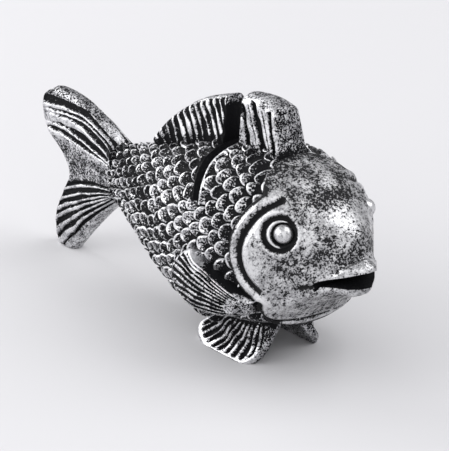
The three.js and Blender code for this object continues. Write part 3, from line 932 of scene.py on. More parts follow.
@dataclass
class Trunk:
    """The scaled trunk with the card slot."""

    shape: BodyShape
    head_line: HeadLine
    pattern: ScalePattern
    rows: int = 262
    columns: int = 366
    front: float = 10.4  # where it ends inside the head
    pitch_tail: float = 1.3  # width of a scale at the tail
    pitch_thick: float = 2.45  # and where the trunk is thickest
    spacing_at: tuple = (0, 0.14, 0.29, 0.45, 0.8)
    spacing: tuple = (1.5, 1.9, 2.3, 2.1, 1.6)  # from row to row, at those shares of the length
    depth: float = 0.5  # how deep a scale starts under the one before it
    slot_front: float = -4.3  # the slot's front wall at the top
    slot_depth: float = 5.9
    slot_floor: float = 1.3  # its width at the floor
    slot_width: float = 2.0  # and at the top
    slot_taper: float = 4.2  # height over which it widens
    slot_ahead: float = 1.9  # how far the floor lies ahead of the top
    # bright round the slot's lower end, where polish and a painted highlight are laid on together, and on the
    # flank; dark beside the front fin
    patches: tuple = (
        Patch(0.28, -1.5, 20.5, 4.0, 3.6), Patch(0.06, -12.0, 19.0, 7.0, 3.5),
        Patch(-0.18, 3.5, 27.0, 2.2, 2.2),
    )

    def __post_init__(self) -> None:
        """Works out the level of the slot's floor, and where its floor ends in front."""
        self.slot_level = float(self.shape.back_line(self.slot_front)) - self.slot_depth
        self.slot_toe = self.slot_front + self.slot_ahead

    def lattice(self, points: Array, girth: Array) -> tuple[Array, Array]:
        """Row and column coordinates of the scales.

        The row coordinate is the sum of dx / spacing from the head towards the tail, and the column
        is the girth above the middle of the flank over the pitch. Both wander a little, as if by hand.

        Args:
            points: places on the plain trunk.
            girth: girth above the middle of the flank.

        Returns:
            Row and column.
        """
        shape, x = self.shape, points[..., 0]
        spacing = Smooth([shape.tail_end + s * shape.length for s in self.spacing_at], self.spacing)
        table = np.linspace(shape.tail_end - 1, self.front, 4001)
        rate = 1 / spacing(table)
        summed = np.concatenate([[0], np.cumsum(0.5 * (rate[1:] + rate[:-1]) * np.diff(table))])
        row = summed[-1] - np.interp(x, table, summed)
        thin = shape.half_width(shape.tail_end)
        thickness = (shape.half_width(x) - thin) / (shape.width / 2 - thin)
        pitch = mix(self.pitch_tail, self.pitch_thick, thickness)
        row = row + 0.10 * wobble(points, 9.0, 3) + 0.05 * wobble(points, 3.4, 4) + 0.02
        return row, girth / pitch + 0.10 * wobble(points, 8.0, 5) + 0.05 * wobble(points, 3.2, 6)

    def scales(self, row: Array, column: Array) -> Array:
        """Height of the scales over the plain trunk, in millimetres.

        A scale ends in a half ellipse behind its row's line. It rises from under the row before it to a
        rounded rim, is a little hollow in between, and each has its own small tilt.

        Args:
            row: row coordinates.
            column: column coordinates.

        Returns:
            The height at each place.
        """
        size = self.pattern.size
        own, across, _, away, luck, far = self.pattern.shown(row.view(Field), column.view(Field))
        near = (1 - away) * size
        share = near / np.maximum(near + far, 0.01)
        tilt = 0.10 * across * np.sin(3.1 * own + 4.7 * np.round(column)) + 0.05 * luck
        ramp = -self.depth * (1 - smoothstep(-0.2, 1.6, far / (size * 1.2)))
        rim = 0.14 * hump(near - 0.28, 0.22)
        dish = -0.14 * hump(share - 0.55, 0.25) * smoothstep(0.3, 0.7, near)
        lip = -0.40 * smoothstep(0.20, 0.0, near)
        gutter = -0.14 * hump(far, 0.25)
        return np.asarray(ramp + rim + dish + lip + gutter + tilt)

    def slot(self) -> Grid:
        """The space of the card slot, which narrows down to its floor."""
        floor, toe = self.slot_level, self.slot_toe
        front, rear = self.slot_front, self.slot_front - self.slot_width
        shoulder, top = floor + self.slot_taper, self.shape.height * 2
        outline = [(toe - self.slot_floor, floor), (toe, floor), (front, shoulder), (front, top), (rear, top)]
        return prism([*outline, (rear, shoulder)], self.shape.width)

    def from_walls(self, points: Array) -> tuple[Array, Array]:
        """Distances along the fish to the slot's two walls.

        Args:
            points: places on the plain trunk.

        Returns:
            The way past the front wall and past the rear one; both are large below the slot's floor.
        """
        x, z = points[..., 0], points[..., 2]
        up = np.clip((z - self.slot_level) / self.slot_taper, 0, 1)
        heel = self.slot_toe - self.slot_floor
        below = 90.0 * smoothstep(self.slot_level - 0.1, self.slot_level - 0.7, z)
        front = self.slot_toe - self.slot_ahead * up
        return x - front + below, x - mix(heel, self.slot_front - self.slot_width, up) - below

    def throat(self, x: Array, z: Array) -> Array:
        """The part of the trunk between the belly fins and the chin, where the scales run out."""
        return smoothstep(-4.5, -1.5, x) * smoothstep(8.6, 7.0, z)

    def zone(self, points: Array, inside: Array) -> Array:
        """What each part adds to the relief: less along the back, the belly, towards the tail end and on the
        throat, more at the nape, plus the patches, one of which paints in a highlight.

        Args:
            points: places on the plain trunk.
            inside: distance to the head's line.

        Returns:
            What each part adds to the relief.
        """
        x, z = points[..., 0], points[..., 2]
        bright = sum(patch.at(x, z) for patch in self.patches)
        dark = 0.16 * smoothstep(24, 28, z) + 0.12 * smoothstep(10, 5, z)
        dark = dark + 0.06 * smoothstep(-5.0, -9.0, x) + 0.10 * smoothstep(-12.0, -20.0, x)
        nape = 0.5 * smoothstep(-1.8, 0.1, inside) * smoothstep(25.0, 26.5, z)
        return bright - dark + nape + 0.10 * wobble(points, 7.0, 8) - 0.9 * self.throat(x, z)

    def build(self, shop: Workshop, finish: AntiqueSilver, lining: Material) -> Object:
        """Makes the trunk and cuts its slot.

        Args:
            shop: where objects are made.
            finish: the metal.
            lining: the slot's walls.

        Returns:
            The trunk.
        """
        places = np.linspace(self.shape.tail_end, self.front, self.rows)
        points, girth = self.shape.rings(places, self.columns)
        x, z = points[..., 0], points[..., 2]
        row, column = self.lattice(points, girth)
        inside = self.head_line.inside(x, z)
        height = self.scales(row, column)
        # flatter at the nape, sunk under the head, with a groove along its line
        height *= 1 - 0.6 * smoothstep(25.8, 27.4, z) * smoothstep(0.5, 3.0, x)
        height = height * smoothstep(0.2, -1.0, inside) - 1.6 * smoothstep(0.3, 1.5, inside)
        height -= 0.35 * hump(inside + 0.15, 0.4) * smoothstep(26.2, 24.8, z)
        # smooth on the throat and along the slot
        height = mix(height, -0.5 - 1.6 * smoothstep(7.5, 4.5, z), self.throat(x, z))
        walls = self.from_walls(points)
        height = mix(height, -0.12, smoothstep(0.55, 0.2, np.min(np.abs(walls), axis=0)))
        out = outward(points, points * [1, 0, 0] + [0, 0, 15.0])
        maps = {"pattern": np.stack([row, column], -1), "walls": np.stack(walls, -1)}
        grid = tube(points + out * height[..., None], {"zone": self.zone(points, inside)}, maps)
        bench = Bench("scaled silver")
        metal = finish.dress(bench, *self.pattern.relief(bench, bench.mark("zone")))
        return shop.cut(shop.make("trunk", grid, metal, lining), self.slot(), lining)


# ------------------------------------------------------------ head


@dataclass(frozen=True)
class Arc:
    """A ridge or groove round the gill: it shows between four angles, in degrees from the way forward."""

    radius: float
    wide: float
    angles: tuple
    rise: float
    bright: float

    def at(self, radius: Array, angle: Array) -> Array:
        """What the arc adds to height and relief, in that order."""
        line = hump(radius - self.radius, self.wide) * plateau(angle, *self.angles)
        return np.stack([self.rise * line, self.bright * line])


@dataclass(frozen=True)
class Crease:
    """A groove drawn on the head in the side view, with a raised rim beside it where rim isn't 0."""

    points: tuple
    cut: float
    cut_width: float
    black: float
    black_width: float
    rim: float = 0.0
    bright: float = 0.0

    def at(self, x: Array, z: Array) -> Array:
        """What the groove adds to height and relief, in that order.

        Args:
            x: places along the fish.
            z: heights.

        Returns:
            Both, in a first axis of two.
        """
        away = from_line(x, z, self.points)
        beside = hump(away - 0.6, 0.35)
        height = self.rim * beside - self.cut * hump(away, self.cut_width)
        return np.stack([height, self.bright * beside - self.black * hump(away, self.black_width)])


@dataclass
class Head:
    """The smooth head: gill arcs, eye rims, mouth with two lips, folds under the chin."""

    shape: BodyShape
    line: HeadLine
    start: float = 3.4
    nose: float = 0.35  # how far the nose rounds off past the snout
    rise: float = 0.2  # how far the head stands over the plain body
    rows: int = 150
    nose_rows: int = 22
    columns: int = 500
    eye: tuple = (11.1, 21.15)
    bead: float = 1.24  # the eye bead's radius
    bead_shift: tuple = (0.62, 0, 0.20)  # how far it lies off the socket's axis
    upper_edge: tuple = (
        (14.9, 14.85), (15.3, 15.25), (15.7, 15.5), (16.85, 15.9), (18.43, 16.41), (19.31, 16.74),
        (20.6, 17.2), (23.0, 18.0),
    )
    lower_edge: tuple = (
        (23.0, 15.2), (20.4, 14.95), (19.4, 14.72), (18.4, 14.6), (17.3, 14.76), (16.4, 14.78),
        (15.75, 14.76), (15.5, 14.3), (15.24, 14.04),
    )
    lobe_top: tuple = (
        (15.0, 15.2), (16.0, 16.15), (17.1, 16.7), (17.6, 17.15), (18.1, 17.7), (18.5, 18.1), (19.1, 18.4),
        (21.5, 18.5),
    )
    chin_top: tuple = (
        (15.24, 14.04), (15.9, 14.74), (17.3, 14.76), (18.4, 14.6), (20.4, 14.95), (23.0, 15.2)
    )
    # the gill's outer ridge, its groove and its inner ridge
    arcs: tuple = (
        Arc(8.5, 0.5, (126, 132, 230, 246), 0.24, 0.5), Arc(7.45, 0.33, (126, 130, 224, 236), -0.6, -2.2),
        Arc(6.5, 0.6, (122, 132, 205, 232), 0.14, 0.5),
    )
    # the flap under the gill, two folds under the chin and the mouth's corner
    creases: tuple = (
        Crease(
            ((9.2, 11.6), (8.9, 10.6), (8.75, 9.6), (9.1, 8.7), (9.9, 8.2), (11.0, 8.2)),
            0.34, 0.3, 1.7, 0.26, 0.14, 0.3,
        ),
        Crease(((10.8, 8.0), (12.2, 8.6), (13.6, 9.4), (15.6, 10.9)), 0.25, 0.22, 1.2, 0.2),
        Crease(((10.6, 7.3), (12.4, 7.7), (14.4, 8.9), (16.6, 10.6)), 0.12, 0.22, 0.5, 0.2),
        Crease(((13.8, 14.4), (15.0, 14.65)), 0.3, 0.3, 1.2, 0.25),
    )
    # bright over the nose, where polish and a painted highlight are laid on together, and on the cheek; dark
    # below the eye and above it
    patches: tuple = (
        Patch(0.22, 15.2, 22.4, 2.0, 1.2), Patch(0.30, 9.2, 15.5, 1.6, 3.5556),
        Patch(-0.18, 12.8, 17.4, 2.6667, 1.3333), Patch(-0.34, 12.4, 23.9, 1.7, 1.7),
    )
    snout_patch: Patch = Patch(-0.42, 16.9, 19.0, 2.0, 1.2)

    def eye_frame(self, side: Side) -> tuple[Array, Array]:
        """Centre of an eye on the face, and the direction that it looks in: the flank's normal.

        Args:
            side: which eye.

        Returns:
            A place and a unit vector.
        """
        (x, z), d, flank = self.eye, 0.05, self.shape.flank
        along, up = (flank(x + a, z + b) - flank(x - a, z - b) for a, b in ((d, 0), (0, d)))
        out = np.array([-along / (2 * d), side.value, -up / (2 * d)])
        return np.array([x, side.value * flank(x, z), z]), out / np.linalg.norm(out)

    def from_eye(self, points: Array, side: Side) -> Array:
        """Distance from an eye's axis: the part of the way from its centre that is square to the axis.

        Args:
            points: places on the head.
            side: which eye.

        Returns:
            The distance at each place, far away on the other flank.
        """
        centre, out = self.eye_frame(side)
        away = points - centre
        radius = np.linalg.norm(away - (away @ out)[..., None] * out, axis=-1)
        return np.where(points[..., 1] * side.value > 0, radius, FAR)

    def eye_forms(self, points: Array, side: Side) -> Array:
        """What an eye adds to height and relief: a socket with a rim, and a ring and a seat for the bead.

        Args:
            points: places on the plain head.
            side: which eye.

        Returns:
            Both, in a first axis of two.
        """
        away = self.from_eye(points, side)
        close = self.from_eye(points - np.array([0.50, 0, 0.08]), side)
        ahead, above = points[..., 0] - self.eye[0], points[..., 2] - self.eye[1]
        behind = smoothstep(0.9, -0.3, ahead - 0.15 * np.abs(above))
        height = 0.12 * hump(away - 2.7, 0.5) - 0.62 * hump(away - 2.02, 0.28)
        height += 0.18 * hump(close - 1.66, 0.16) - 0.85 * smoothstep(1.54, 1.34, close)
        relief = 0.40 * hump(away - 2.55, 0.3) - 2.8 * hump(away - 1.95, 0.34)
        relief += 2.9 * hump(close - 1.68, 0.19) * behind - 2.0 * smoothstep(1.56, 1.42, close)
        return np.stack([height, relief])

    def forms(self, points: Array) -> tuple[Array, Array]:
        """Height over the plain head, and how far the polish got, with a painted highlight over the nose.

        Each groove, rim and lip is a soft bump across its line in the side view.

        Args:
            points: places on the plain head.

        Returns:
            Height in millimetres, and relief from -1 to 1.
        """
        x, z = points[..., 0], points[..., 2]
        inside = self.line.inside(x, z)
        radius, angle = self.line.polar(x, z)
        # sunk under the scales behind its line
        nape = smoothstep(25.0, 26.5, z)
        height = self.rise - 1.8 * smoothstep(0.15, -0.9, inside + 0.35 * nape)
        height -= 0.12 * nape * smoothstep(2.5, 0.0, inside)
        height -= 1.6 * smoothstep(0.0, -1.5, inside) * smoothstep(9.5, 7.5, z)
        # black in the crease behind the gill
        behind = smoothstep(26.2, 24.6, z) * smoothstep(262, 240, angle)
        relief = 0.23 - 2.2 * hump(inside - 0.05, 0.38) * behind
        # lips: a broad upper lobe that reaches up the snout, and a narrow lower band
        lobe_top, opening = (Smooth(*zip(*edge))(x) for edge in (self.lobe_top, self.upper_edge))
        lobe = smoothstep(0.12, -0.35, z - lobe_top) * smoothstep(-0.4, 0.0, z - opening)
        lobe = lobe * smoothstep(15.6, 17.8, x)
        chin = hump(Smooth(*zip(*self.chin_top))(x) - 0.45 - z, 0.5) * smoothstep(14.2, 16.5, x)
        height += 0.34 * lobe * smoothstep(21.2, 19.6, x) + 0.20 * chin
        relief += 0.15 * lobe + 0.25 * chin
        # gill arcs, creases and eyes
        radius = radius + 0.10 * wobble(points, 7.0, 21)
        added = sum(arc.at(radius, angle) for arc in self.arcs)
        added = added + sum(crease.at(x, z) for crease in self.creases)
        added = added + sum(self.eye_forms(points, side) for side in Side)
        height, relief = height + added[0], relief + added[1]
        # where the cloth polished more or less, with a painted highlight over the nose
        relief += sum(patch.at(x, z) for patch in self.patches) + self.snout_patch.at(x, z) * (1 - lobe)
        relief += 0.04 * smoothstep(15.0, 12.5, z) * smoothstep(7, 10, x)
        relief -= 0.12 * hump(inside - 0.3, 0.8) * smoothstep(24.5, 26.0, z)
        relief -= 0.20 * smoothstep(23.5, 25.8, z) + 0.15 * hump(x - 5.0, 1.6) * smoothstep(26.4, 28.0, z)
        return height + 0.05 * wobble(points, 6.0, 22), relief + 0.08 * wobble(points, 5.0, 23)

    def drawn_in(self, points: Array) -> Array:
        """Shapes the plain snout: the beak and the lower lip stay, the rest goes back, the chin rises.

        Args:
            points: places on the plain head.

        Returns:
            The places moved.
        """
        x, y, z = points[..., 0], points[..., 1], points[..., 2]
        end = smoothstep(17.0, 20.8, x)
        above = plateau(z, 16.9, 18.2, 21.0, 24.0)
        back = (0.7 + 1.0 * above) * end
        narrow = 0.11 * hump(z - 17.6, 3.2) * smoothstep(10.0, 12.5, x)
        narrow += (0.08 + 0.10 * above) * smoothstep(14.5, 17.8, x) + (0.10 + 0.25 * above) * end
        low = smoothstep(4.5, 0.0, z - self.shape.belly_line(x)) * smoothstep(7.0, 11.0, x)
        return np.stack([x - back, y * (1 - narrow), z + (0.9 + 1.3 * hump(x - 14.2, 3.5)) * low], -1)

    def build(self, shop: Workshop, finish: BrushedHead, lining: Material) -> Object:
        """Makes the head and cuts its mouth.

        The rings go on to the snout and then close over a rounded nose, where the section shrinks
        with the cosine of an angle from 30 to 90 degrees while x grows with its sine.

        Args:
            shop: where objects are made.
            finish: the metal.
            lining: the mouth's walls.

        Returns:
            The head.
        """
        points, _ = self.shape.rings(np.linspace(self.start, self.shape.snout, self.rows), self.columns)
        turn = np.linspace(np.pi / 6, np.pi / 2, self.nose_rows + 1)[1:-1, None]
        middle = points[-1:].mean(1, keepdims=True)
        nose = middle + (points[-1:] - middle) * np.cos(turn)[..., None] / np.cos(np.pi / 6)
        nose[..., 0] = self.shape.snout + self.nose * (2 * np.sin(turn) - 1)
        points = self.drawn_in(np.concatenate([points, nose]))
        height, relief = self.forms(points)
        grid = tube(points + outward(points, [8.0, 0, 16.0]) * height[..., None], {"relief": relief}, {})
        head = shop.make("head", grid, finish.dress(Bench("brushed silver")), lining)
        return shop.cut(head, prism(self.upper_edge + self.lower_edge, self.shape.width), lining)

    def bead_of(self, shop: Workshop, side: Side, finish: PolishedSilver) -> Object:
        """Makes an eye: a ball round the eye's axis, over even angles.

        Args:
            shop: where objects are made.
            side: which eye.
            finish: the metal.

        Returns:
            The eye.
        """
        centre, out = self.eye_frame(side)
        across = np.cross(out, [0, 0, 1.0])
        across /= np.linalg.norm(across)
        tip = np.linspace(0, np.pi, 50)[1:-1, None]
        turn = np.linspace(0, 2 * np.pi, 97)[None, :-1]
        parts = np.cos(tip) + 0 * turn, np.sin(tip) * np.cos(turn), np.sin(tip) * np.sin(turn)
        ball = np.stack(parts, -1) @ np.stack([out, across, np.cross(across, out)])
        middle = centre + out * (self.rise + 0.26 - self.bead) + np.array(self.bead_shift)
        metal = finish.dress(Bench(f"polished silver {side.label}"))
        return shop.make(f"{side.label}_eye_bead", tube(middle + self.bead * ball, {}, {}), metal)


# ------------------------------------------------------------ fins


def rays(place: Array, count: float, groove: float | Array) -> tuple[Array, Array]:
    """Ridges and grooves side by side: f is 0 on a ridge and 1 in the middle of a groove.

    Args:
        place: the share of the way across the fin.
        count: number of rays.
        groove: share of the spacing that is groove.

    Returns:
        Depth from 0 to 1, and relief from 1 on a ridge to -1 in a groove.
    """
    f = 2 * np.abs(place * count - np.round(place * count))
    edge = 1 - groove
    return smoothstep(edge - 0.25, edge + 0.3, f), 1 - 2 * smoothstep(edge - 0.06, edge + 0.12, f)


@dataclass
class DorsalFin:
    """A fin on the back: rays that lean towards the tail, with a rounded top."""

    name: str
    shape: BodyShape
    root: tuple  # its rear and front end on the back
    lean: tuple  # how far those ends lean back up to the top
    root_half: tuple  # half its thickness at those ends, at the root
    top_half: float
    height: tuple  # the top line's height over the back, by place
    ends: tuple  # how far the rounding of its rear and front end reaches
    root_black: float  # how much polish the root loses
    before_slot: bool  # whether its front end stands at the slot; else its rear end does
    slot_at: float
    groove_depth: float
    count: float = 0.0  # even rays, or else
    grooves: tuple = ()  # grooves of their own: upper end, lower end, half width
    sink: float = 1.2
    rows: int = 90
    columns: int = 220

    def own_grooves(self, x: Array, z: Array, place: Array) -> tuple[Array, Array]:
        """The grooves that are given one by one, with bright edges.

        Args:
            x: places along the fish.
            z: heights.
            place: both, with 0 between them.

        Returns:
            Depth from 0 to 1, and relief.
        """
        depth, edges = 0 * x, 0 * x
        for upper, lower, wide in self.grooves:
            away = from_line(x + 0.10 * wobble(place, 3.6, 41), z, [upper, lower])
            away = away * (1 + 0.2 * wobble(place, 1.6, 42))
            depth = np.maximum(depth, smoothstep(wide * 1.2, wide * 0.6, away))
            edges = np.maximum(edges, hump(away - wide * 1.2 - 0.25, 0.28))
        return depth, 0.2 + 0.7 * edges * (1 - depth) - 1.7 * depth

    def build(self, shop: Workshop, finish: AntiqueSilver) -> Object:
        """Makes the fin.

        Its side outline runs from the root line in the back to the top line. Half its thickness falls
        from root to top, and a quarter circle rounds the top and both ends.

        Args:
            shop: where objects are made.
            finish: the metal.

        Returns:
            The fin.
        """
        s, t = shares(self.rows, self.columns)
        low, high = self.root
        rear, front = low - self.lean[0] * s, high - self.lean[1] * s
        if self.before_slot:
            front = np.minimum(front + 9 * s, self.slot_at)
        else:
            rear = np.maximum(rear, self.slot_at)
        x = mix(rear, front, t)
        share = (x - low + s * self.lean[0]) / ((high - low) - s * (self.lean[1] - self.lean[0]))
        back = self.shape.back_line(x)
        tallest = Smooth(*zip(*self.height))(x) + self.sink
        z = back - self.sink + tallest * s
        place = np.stack([x, 0 * x, z], -1)
        thick = mix(*self.root_half, np.clip(share, 0, 1))
        thick = mix(thick, np.minimum(thick, self.top_half), s)
        tall = (1 - s) * tallest
        if self.grooves:
            depth, bright = self.own_grooves(x, z, place)
        else:
            groove = 0.72 + 0.16 * wobble(place, 3.1, 44)
            depth, bright = rays(share + 0.012 * wobble(place, 5.0, 43), self.count, groove)
        shown = smoothstep(0.15, 0.6, tall) * smoothstep(0.1, 0.5, front - x) * smoothstep(0.1, 0.5, x - rear)
        ends = np.minimum(rounded(x - rear, self.ends[0]), rounded(front - x, self.ends[1]))
        edge = ends * rounded(tall, 1.1)
        half = (thick - depth * shown * self.groove_depth) * edge
        relief = 0.75 * bright * shown * (1.0 + 0.4 * wobble(place, 2.4, 46))
        relief += 0.12 * smoothstep(0.8, 0.2, tall)
        relief -= self.root_black * smoothstep(2.6, 1.3, s * tallest)
        # darker beside the slot: patina with painted shade, heaviest on the rear fin's face in the slot
        if self.before_slot:
            to_slot = front - x + 0.25 * wobble(place, 1.5, 45)
            relief -= smoothstep(0.75, 0.3, to_slot) * (0.05 + 1.7 * smoothstep(0.8, 2.0, tall))
        else:
            relief -= 0.10 * smoothstep(1.6, 0.6, front - x)
        sheets = [np.stack([x, side.value * half, z], -1) for side in Side]
        return shop.cast(self.name, sheets, (relief, relief), finish)


@dataclass
class TailFin:
    """The tail: rays fan out from the trunk's end to a notched rim."""

    shape: BodyShape
    rim: tuple = (
        (13.9, 20.8), (16.6, 18.7), (15.8, 14.4), (12.2, 11.5), (10.9, 9.1),
        (12.4, 5.9), (14.2, 1.7), (13.4, -2.1), (10.2, -2.4),
    )  # way behind the trunk's end, and height over the belly's level
    crowding: float = 0.8  # below 1, the rows crowd at the rim
    upper_bow: float = 1.5
    lower_bow: float = 0.4
    root_half: float = 2.3
    rim_half: float = 1.1
    root_height: float = 7.8
    rim_length: float = 30.0
    # the places across below are given at these shares of the way from root to rim
    steps: tuple = (0, 0.2, 0.4, 0.6, 0.8, 1.0)
    top_band: tuple = (0.012, 0.014, 0.016, 0.032, 0.062, 0.085)
    low_band: tuple = (0.985, 0.970, 0.950, 0.932, 0.930, 0.932)
    middle: tuple = ((0.39, 0.36, 0.34, 0.30, 0.275, 0.27), (0.74, 0.668, 0.614, 0.592, 0.582, 0.580))
    ridges: tuple = (
        (0.008, (0.040, 0.042, 0.062, 0.105, 0.135, 0.150)),
        (0.005, (0.085, 0.080, 0.105, 0.135, 0.160, 0.172)),
        (0.015, (0.225, 0.187, 0.178, 0.181, 0.192, 0.200)),
        (0.008, (0.330, 0.300, 0.262, 0.236, 0.228, 0.232)),
        (0.011, (0.380, 0.352, 0.338, 0.298, 0.276, 0.270)),
        (0.009, (0.760, 0.690, 0.635, 0.610, 0.600, 0.598)),
        (0.008, (0.820, 0.758, 0.710, 0.682, 0.672, 0.670)),
        (0.009, (0.860, 0.800, 0.762, 0.742, 0.732, 0.728)),
        (0.010, (0.885, 0.838, 0.800, 0.782, 0.777, 0.777)),
        (0.010, (0.910, 0.875, 0.846, 0.834, 0.835, 0.838)),
        (0.012, (0.960, 0.925, 0.894, 0.886, 0.890, 0.896)),
    )  # half width at the rim, and the places across
    rows: int = 150
    columns: int = 260

    def build(self, shop: Workshop, finish: AntiqueSilver) -> Object:
        """Makes the tail.

        A point lies on the straight line from the root to the rim, plus 4s(1-s) times a bow at the
        upper and lower edge; half the thickness falls with the square root of that way.

        Args:
            shop: where objects are made.
            finish: the metal.

        Returns:
            The tail.
        """
        shape = self.shape
        s = np.linspace(0, 1, self.rows)[:, None] ** self.crowding
        _, t = shares(1, self.columns)
        start = shape.tail_end + 0.5
        end = through(np.array(self.rim) * [-1, 1] + [shape.tail_end, shape.belly_above_table], t)
        root_z = mix(shape.back_line(start) - 0.1, shape.belly_line(start) + 0.1, t)
        x = mix(start, end[..., 0], s)
        bow = self.upper_bow * (1 - t) ** 3 + self.lower_bow * t**3
        z = np.maximum(mix(root_z, end[..., 1], s) + 4 * s * (1 - s) * bow, TABLE)
        place = np.stack([x, 0 * x, z], -1)
        to_rim = (1 - s) * np.hypot(end[..., 0] - start, end[..., 1] - root_z)
        to_side = np.minimum(t, 1 - t) * mix(self.root_height, self.rim_length, s)
        # ridges, plain bands along the upper and lower edge, and the plain middle
        lines = (self.top_band, self.low_band, *self.middle)
        top, low, upper, lower = (Smooth(self.steps, line)(s) for line in lines)
        ragged = t + 0.0016 * wobble(place, 1.4, 31) + 0.004 * wobble(place, 4.4, 32)
        uneven = 1 + 0.25 * wobble(place, 2.3, 33)
        ridge = 0 * x
        for width, at in self.ridges:
            wide = width * (0.7 + 0.5 * s) * uneven
            away = np.abs(ragged - Smooth(self.steps, at)(s))
            ridge = np.maximum(ridge, smoothstep(wide * 2.0, wide * 0.7, away))
        band = np.maximum(smoothstep(0.012, -0.004, ragged - top), smoothstep(-0.012, 0.004, ragged - low))
        middle = smoothstep(0.0, 0.03, t - upper) * smoothstep(0.0, -0.03, t - lower)
        middle = middle * smoothstep(0.95, 0.7, ridge)
        dark = hump(t - 0.568 - 0.02 * (1 - s), 0.016) * smoothstep(0.3, 0.7, s)
        rim = smoothstep(0.9, 0.1, to_rim)
        raised = np.maximum(np.maximum(ridge, band), 0.55 * middle)
        depth = (1 - raised) * smoothstep(0.02, 0.12, s) * (1 - rim)
        half = mix(self.root_half, self.rim_half, np.sqrt(s)) - 0.5 * depth
        half = half * rounded(to_rim, 1.0) * rounded(to_side, 1.0)
        # the polish: even on the lower band; bright at the root of the upper one, polish with a painted
        # highlight there
        on_top = smoothstep(0.4, 0.2, t)
        polish_and_painted_light = 0.28 + on_top * (0.5 * smoothstep(0.3, 0.05, s) - 0.15 * smoothstep(0.85, 0.95, s) - 0.28)
        relief = mix(-0.80 + 1.45 * ridge, polish_and_painted_light, band)
        relief = mix(relief, 0.02 + 0.40 * smoothstep(0.10, 0.0, t - upper), middle)
        relief += 0.16 * rim - 0.7 * dark - 0.4 * smoothstep(0.08, 0.0, s)
        sheets = [np.stack([x, side.value * half, z], -1) for side in Side]
        bench = Bench("tail fin")
        streak = bench.streaks((0.0, -0.35, 0.0), (0.35, 1.0, 2.2), 0.6) * bench.mark("middle")
        metal = finish.dress(bench, bench.mark("relief") + streak * 0.3)
        marks = {"relief": (relief, relief), "middle": (middle, middle)}
        return shop.make("tail_fin_cast", leaf(sheets, marks), metal)


@dataclass
class PectoralFin:
    """A side fin, laid along the flank."""

    shape: BodyShape
    side: Side
    root: tuple = ((9.2, 10.2), (8.3, 7.9))
    rim: tuple = ((0.9, 13.3), (-1.6, 14.1), (-4.8, 11.9), (-6.2, 9.3), (-5.3, 7.1), (-2.0, 6.0))
    lower_bow: float = 0.9
    thick: float = 1.3
    rim_thick: float = 0.8
    seat: float = 0.4  # how deep its inner face lies in the flank
    shoulder: tuple = (0.6, 15.2)
    count: float = 12.5
    rows: int = 100
    columns: int = 280

    def build(self, shop: Workshop, finish: AntiqueSilver) -> Object:
        """Makes the fin: lines from root to rim, laid on the flank grown by the fin's thickness.

        Args:
            shop: where objects are made.
            finish: the metal.

        Returns:
            The fin.
        """
        s, t = shares(self.rows, self.columns)
        lift = [0, self.shape.belly_above_table]
        root, end = (through(np.add(line, lift), t) for line in (self.root, self.rim))
        x, z = np.moveaxis(mix(root, end, s[..., None]), -1, 0)
        z = z - self.lower_bow * 4 * s * (1 - s) * t**3
        place = np.stack([x, 0 * x, z], -1)
        to_rim = (1 - s) * np.linalg.norm(end - root, axis=-1)
        edge = np.minimum(rounded(to_rim, 0.9), rounded(np.minimum(t, 1 - t) * (2.4 + 9.5 * s), 0.9))
        # a plain band along the upper edge, a crease below it, and rays
        band = smoothstep(0.21, 0.17, t + 0.04 * (1 - s))
        crease = hump(t - 0.115 - 0.02 * wobble(place, 4.0, 52), 0.014) * plateau(s, 0.12, 0.3, 0.8, 0.97)
        depth, _ = rays(t + 0.010 * wobble(place, 3.0, 51), self.count, 0.58 + 0.14 * wobble(place, 3.0, 53))
        depth = depth * smoothstep(0.10, 0.22, s + 0.10 * wobble(place, 1.8, 54))
        depth = depth * smoothstep(0.25, 0.9, to_rim) * smoothstep(0.96, 0.91, t) * (1 - band)
        shoulder = hump(np.hypot(x - self.shoulder[0], z - self.shoulder[1]), 1.3)
        body = self.seat + 0.5 + mix(self.thick, self.rim_thick, s)
        body = body - 0.4 * depth - 0.2 * crease + 0.35 * shoulder
        relief = 0.34 + 0.45 * band - 1.6 * depth - 1.8 * crease + 0.3 * smoothstep(1.2, 0.4, to_rim)
        relief -= 0.25 * smoothstep(0.25, 0.1, s) + 0.45 * smoothstep(0.06, 0.03, t)
        relief -= 0.9 * smoothstep(0.75, 0.3, edge) * smoothstep(0.5, 0.3, t)
        relief -= 1.3 * smoothstep(0.115, 0.08, t) * smoothstep(0.10, 0.25, s)
        # the shoulder is polished bright, with a painted highlight laid on it
        relief += 0.3 * smoothstep(0.9, 0.95, t) + 1.8 * shoulder
        faces = (self.shape.flank(x, z, proud) for proud in (body * edge - self.seat, -self.seat))
        sheets = [np.stack([x, self.side.value * face, z], -1) for face in faces]
        return shop.cast(f"{self.side.label}_pectoral_fin", sheets, (relief, 0 * relief - 0.5), finish)


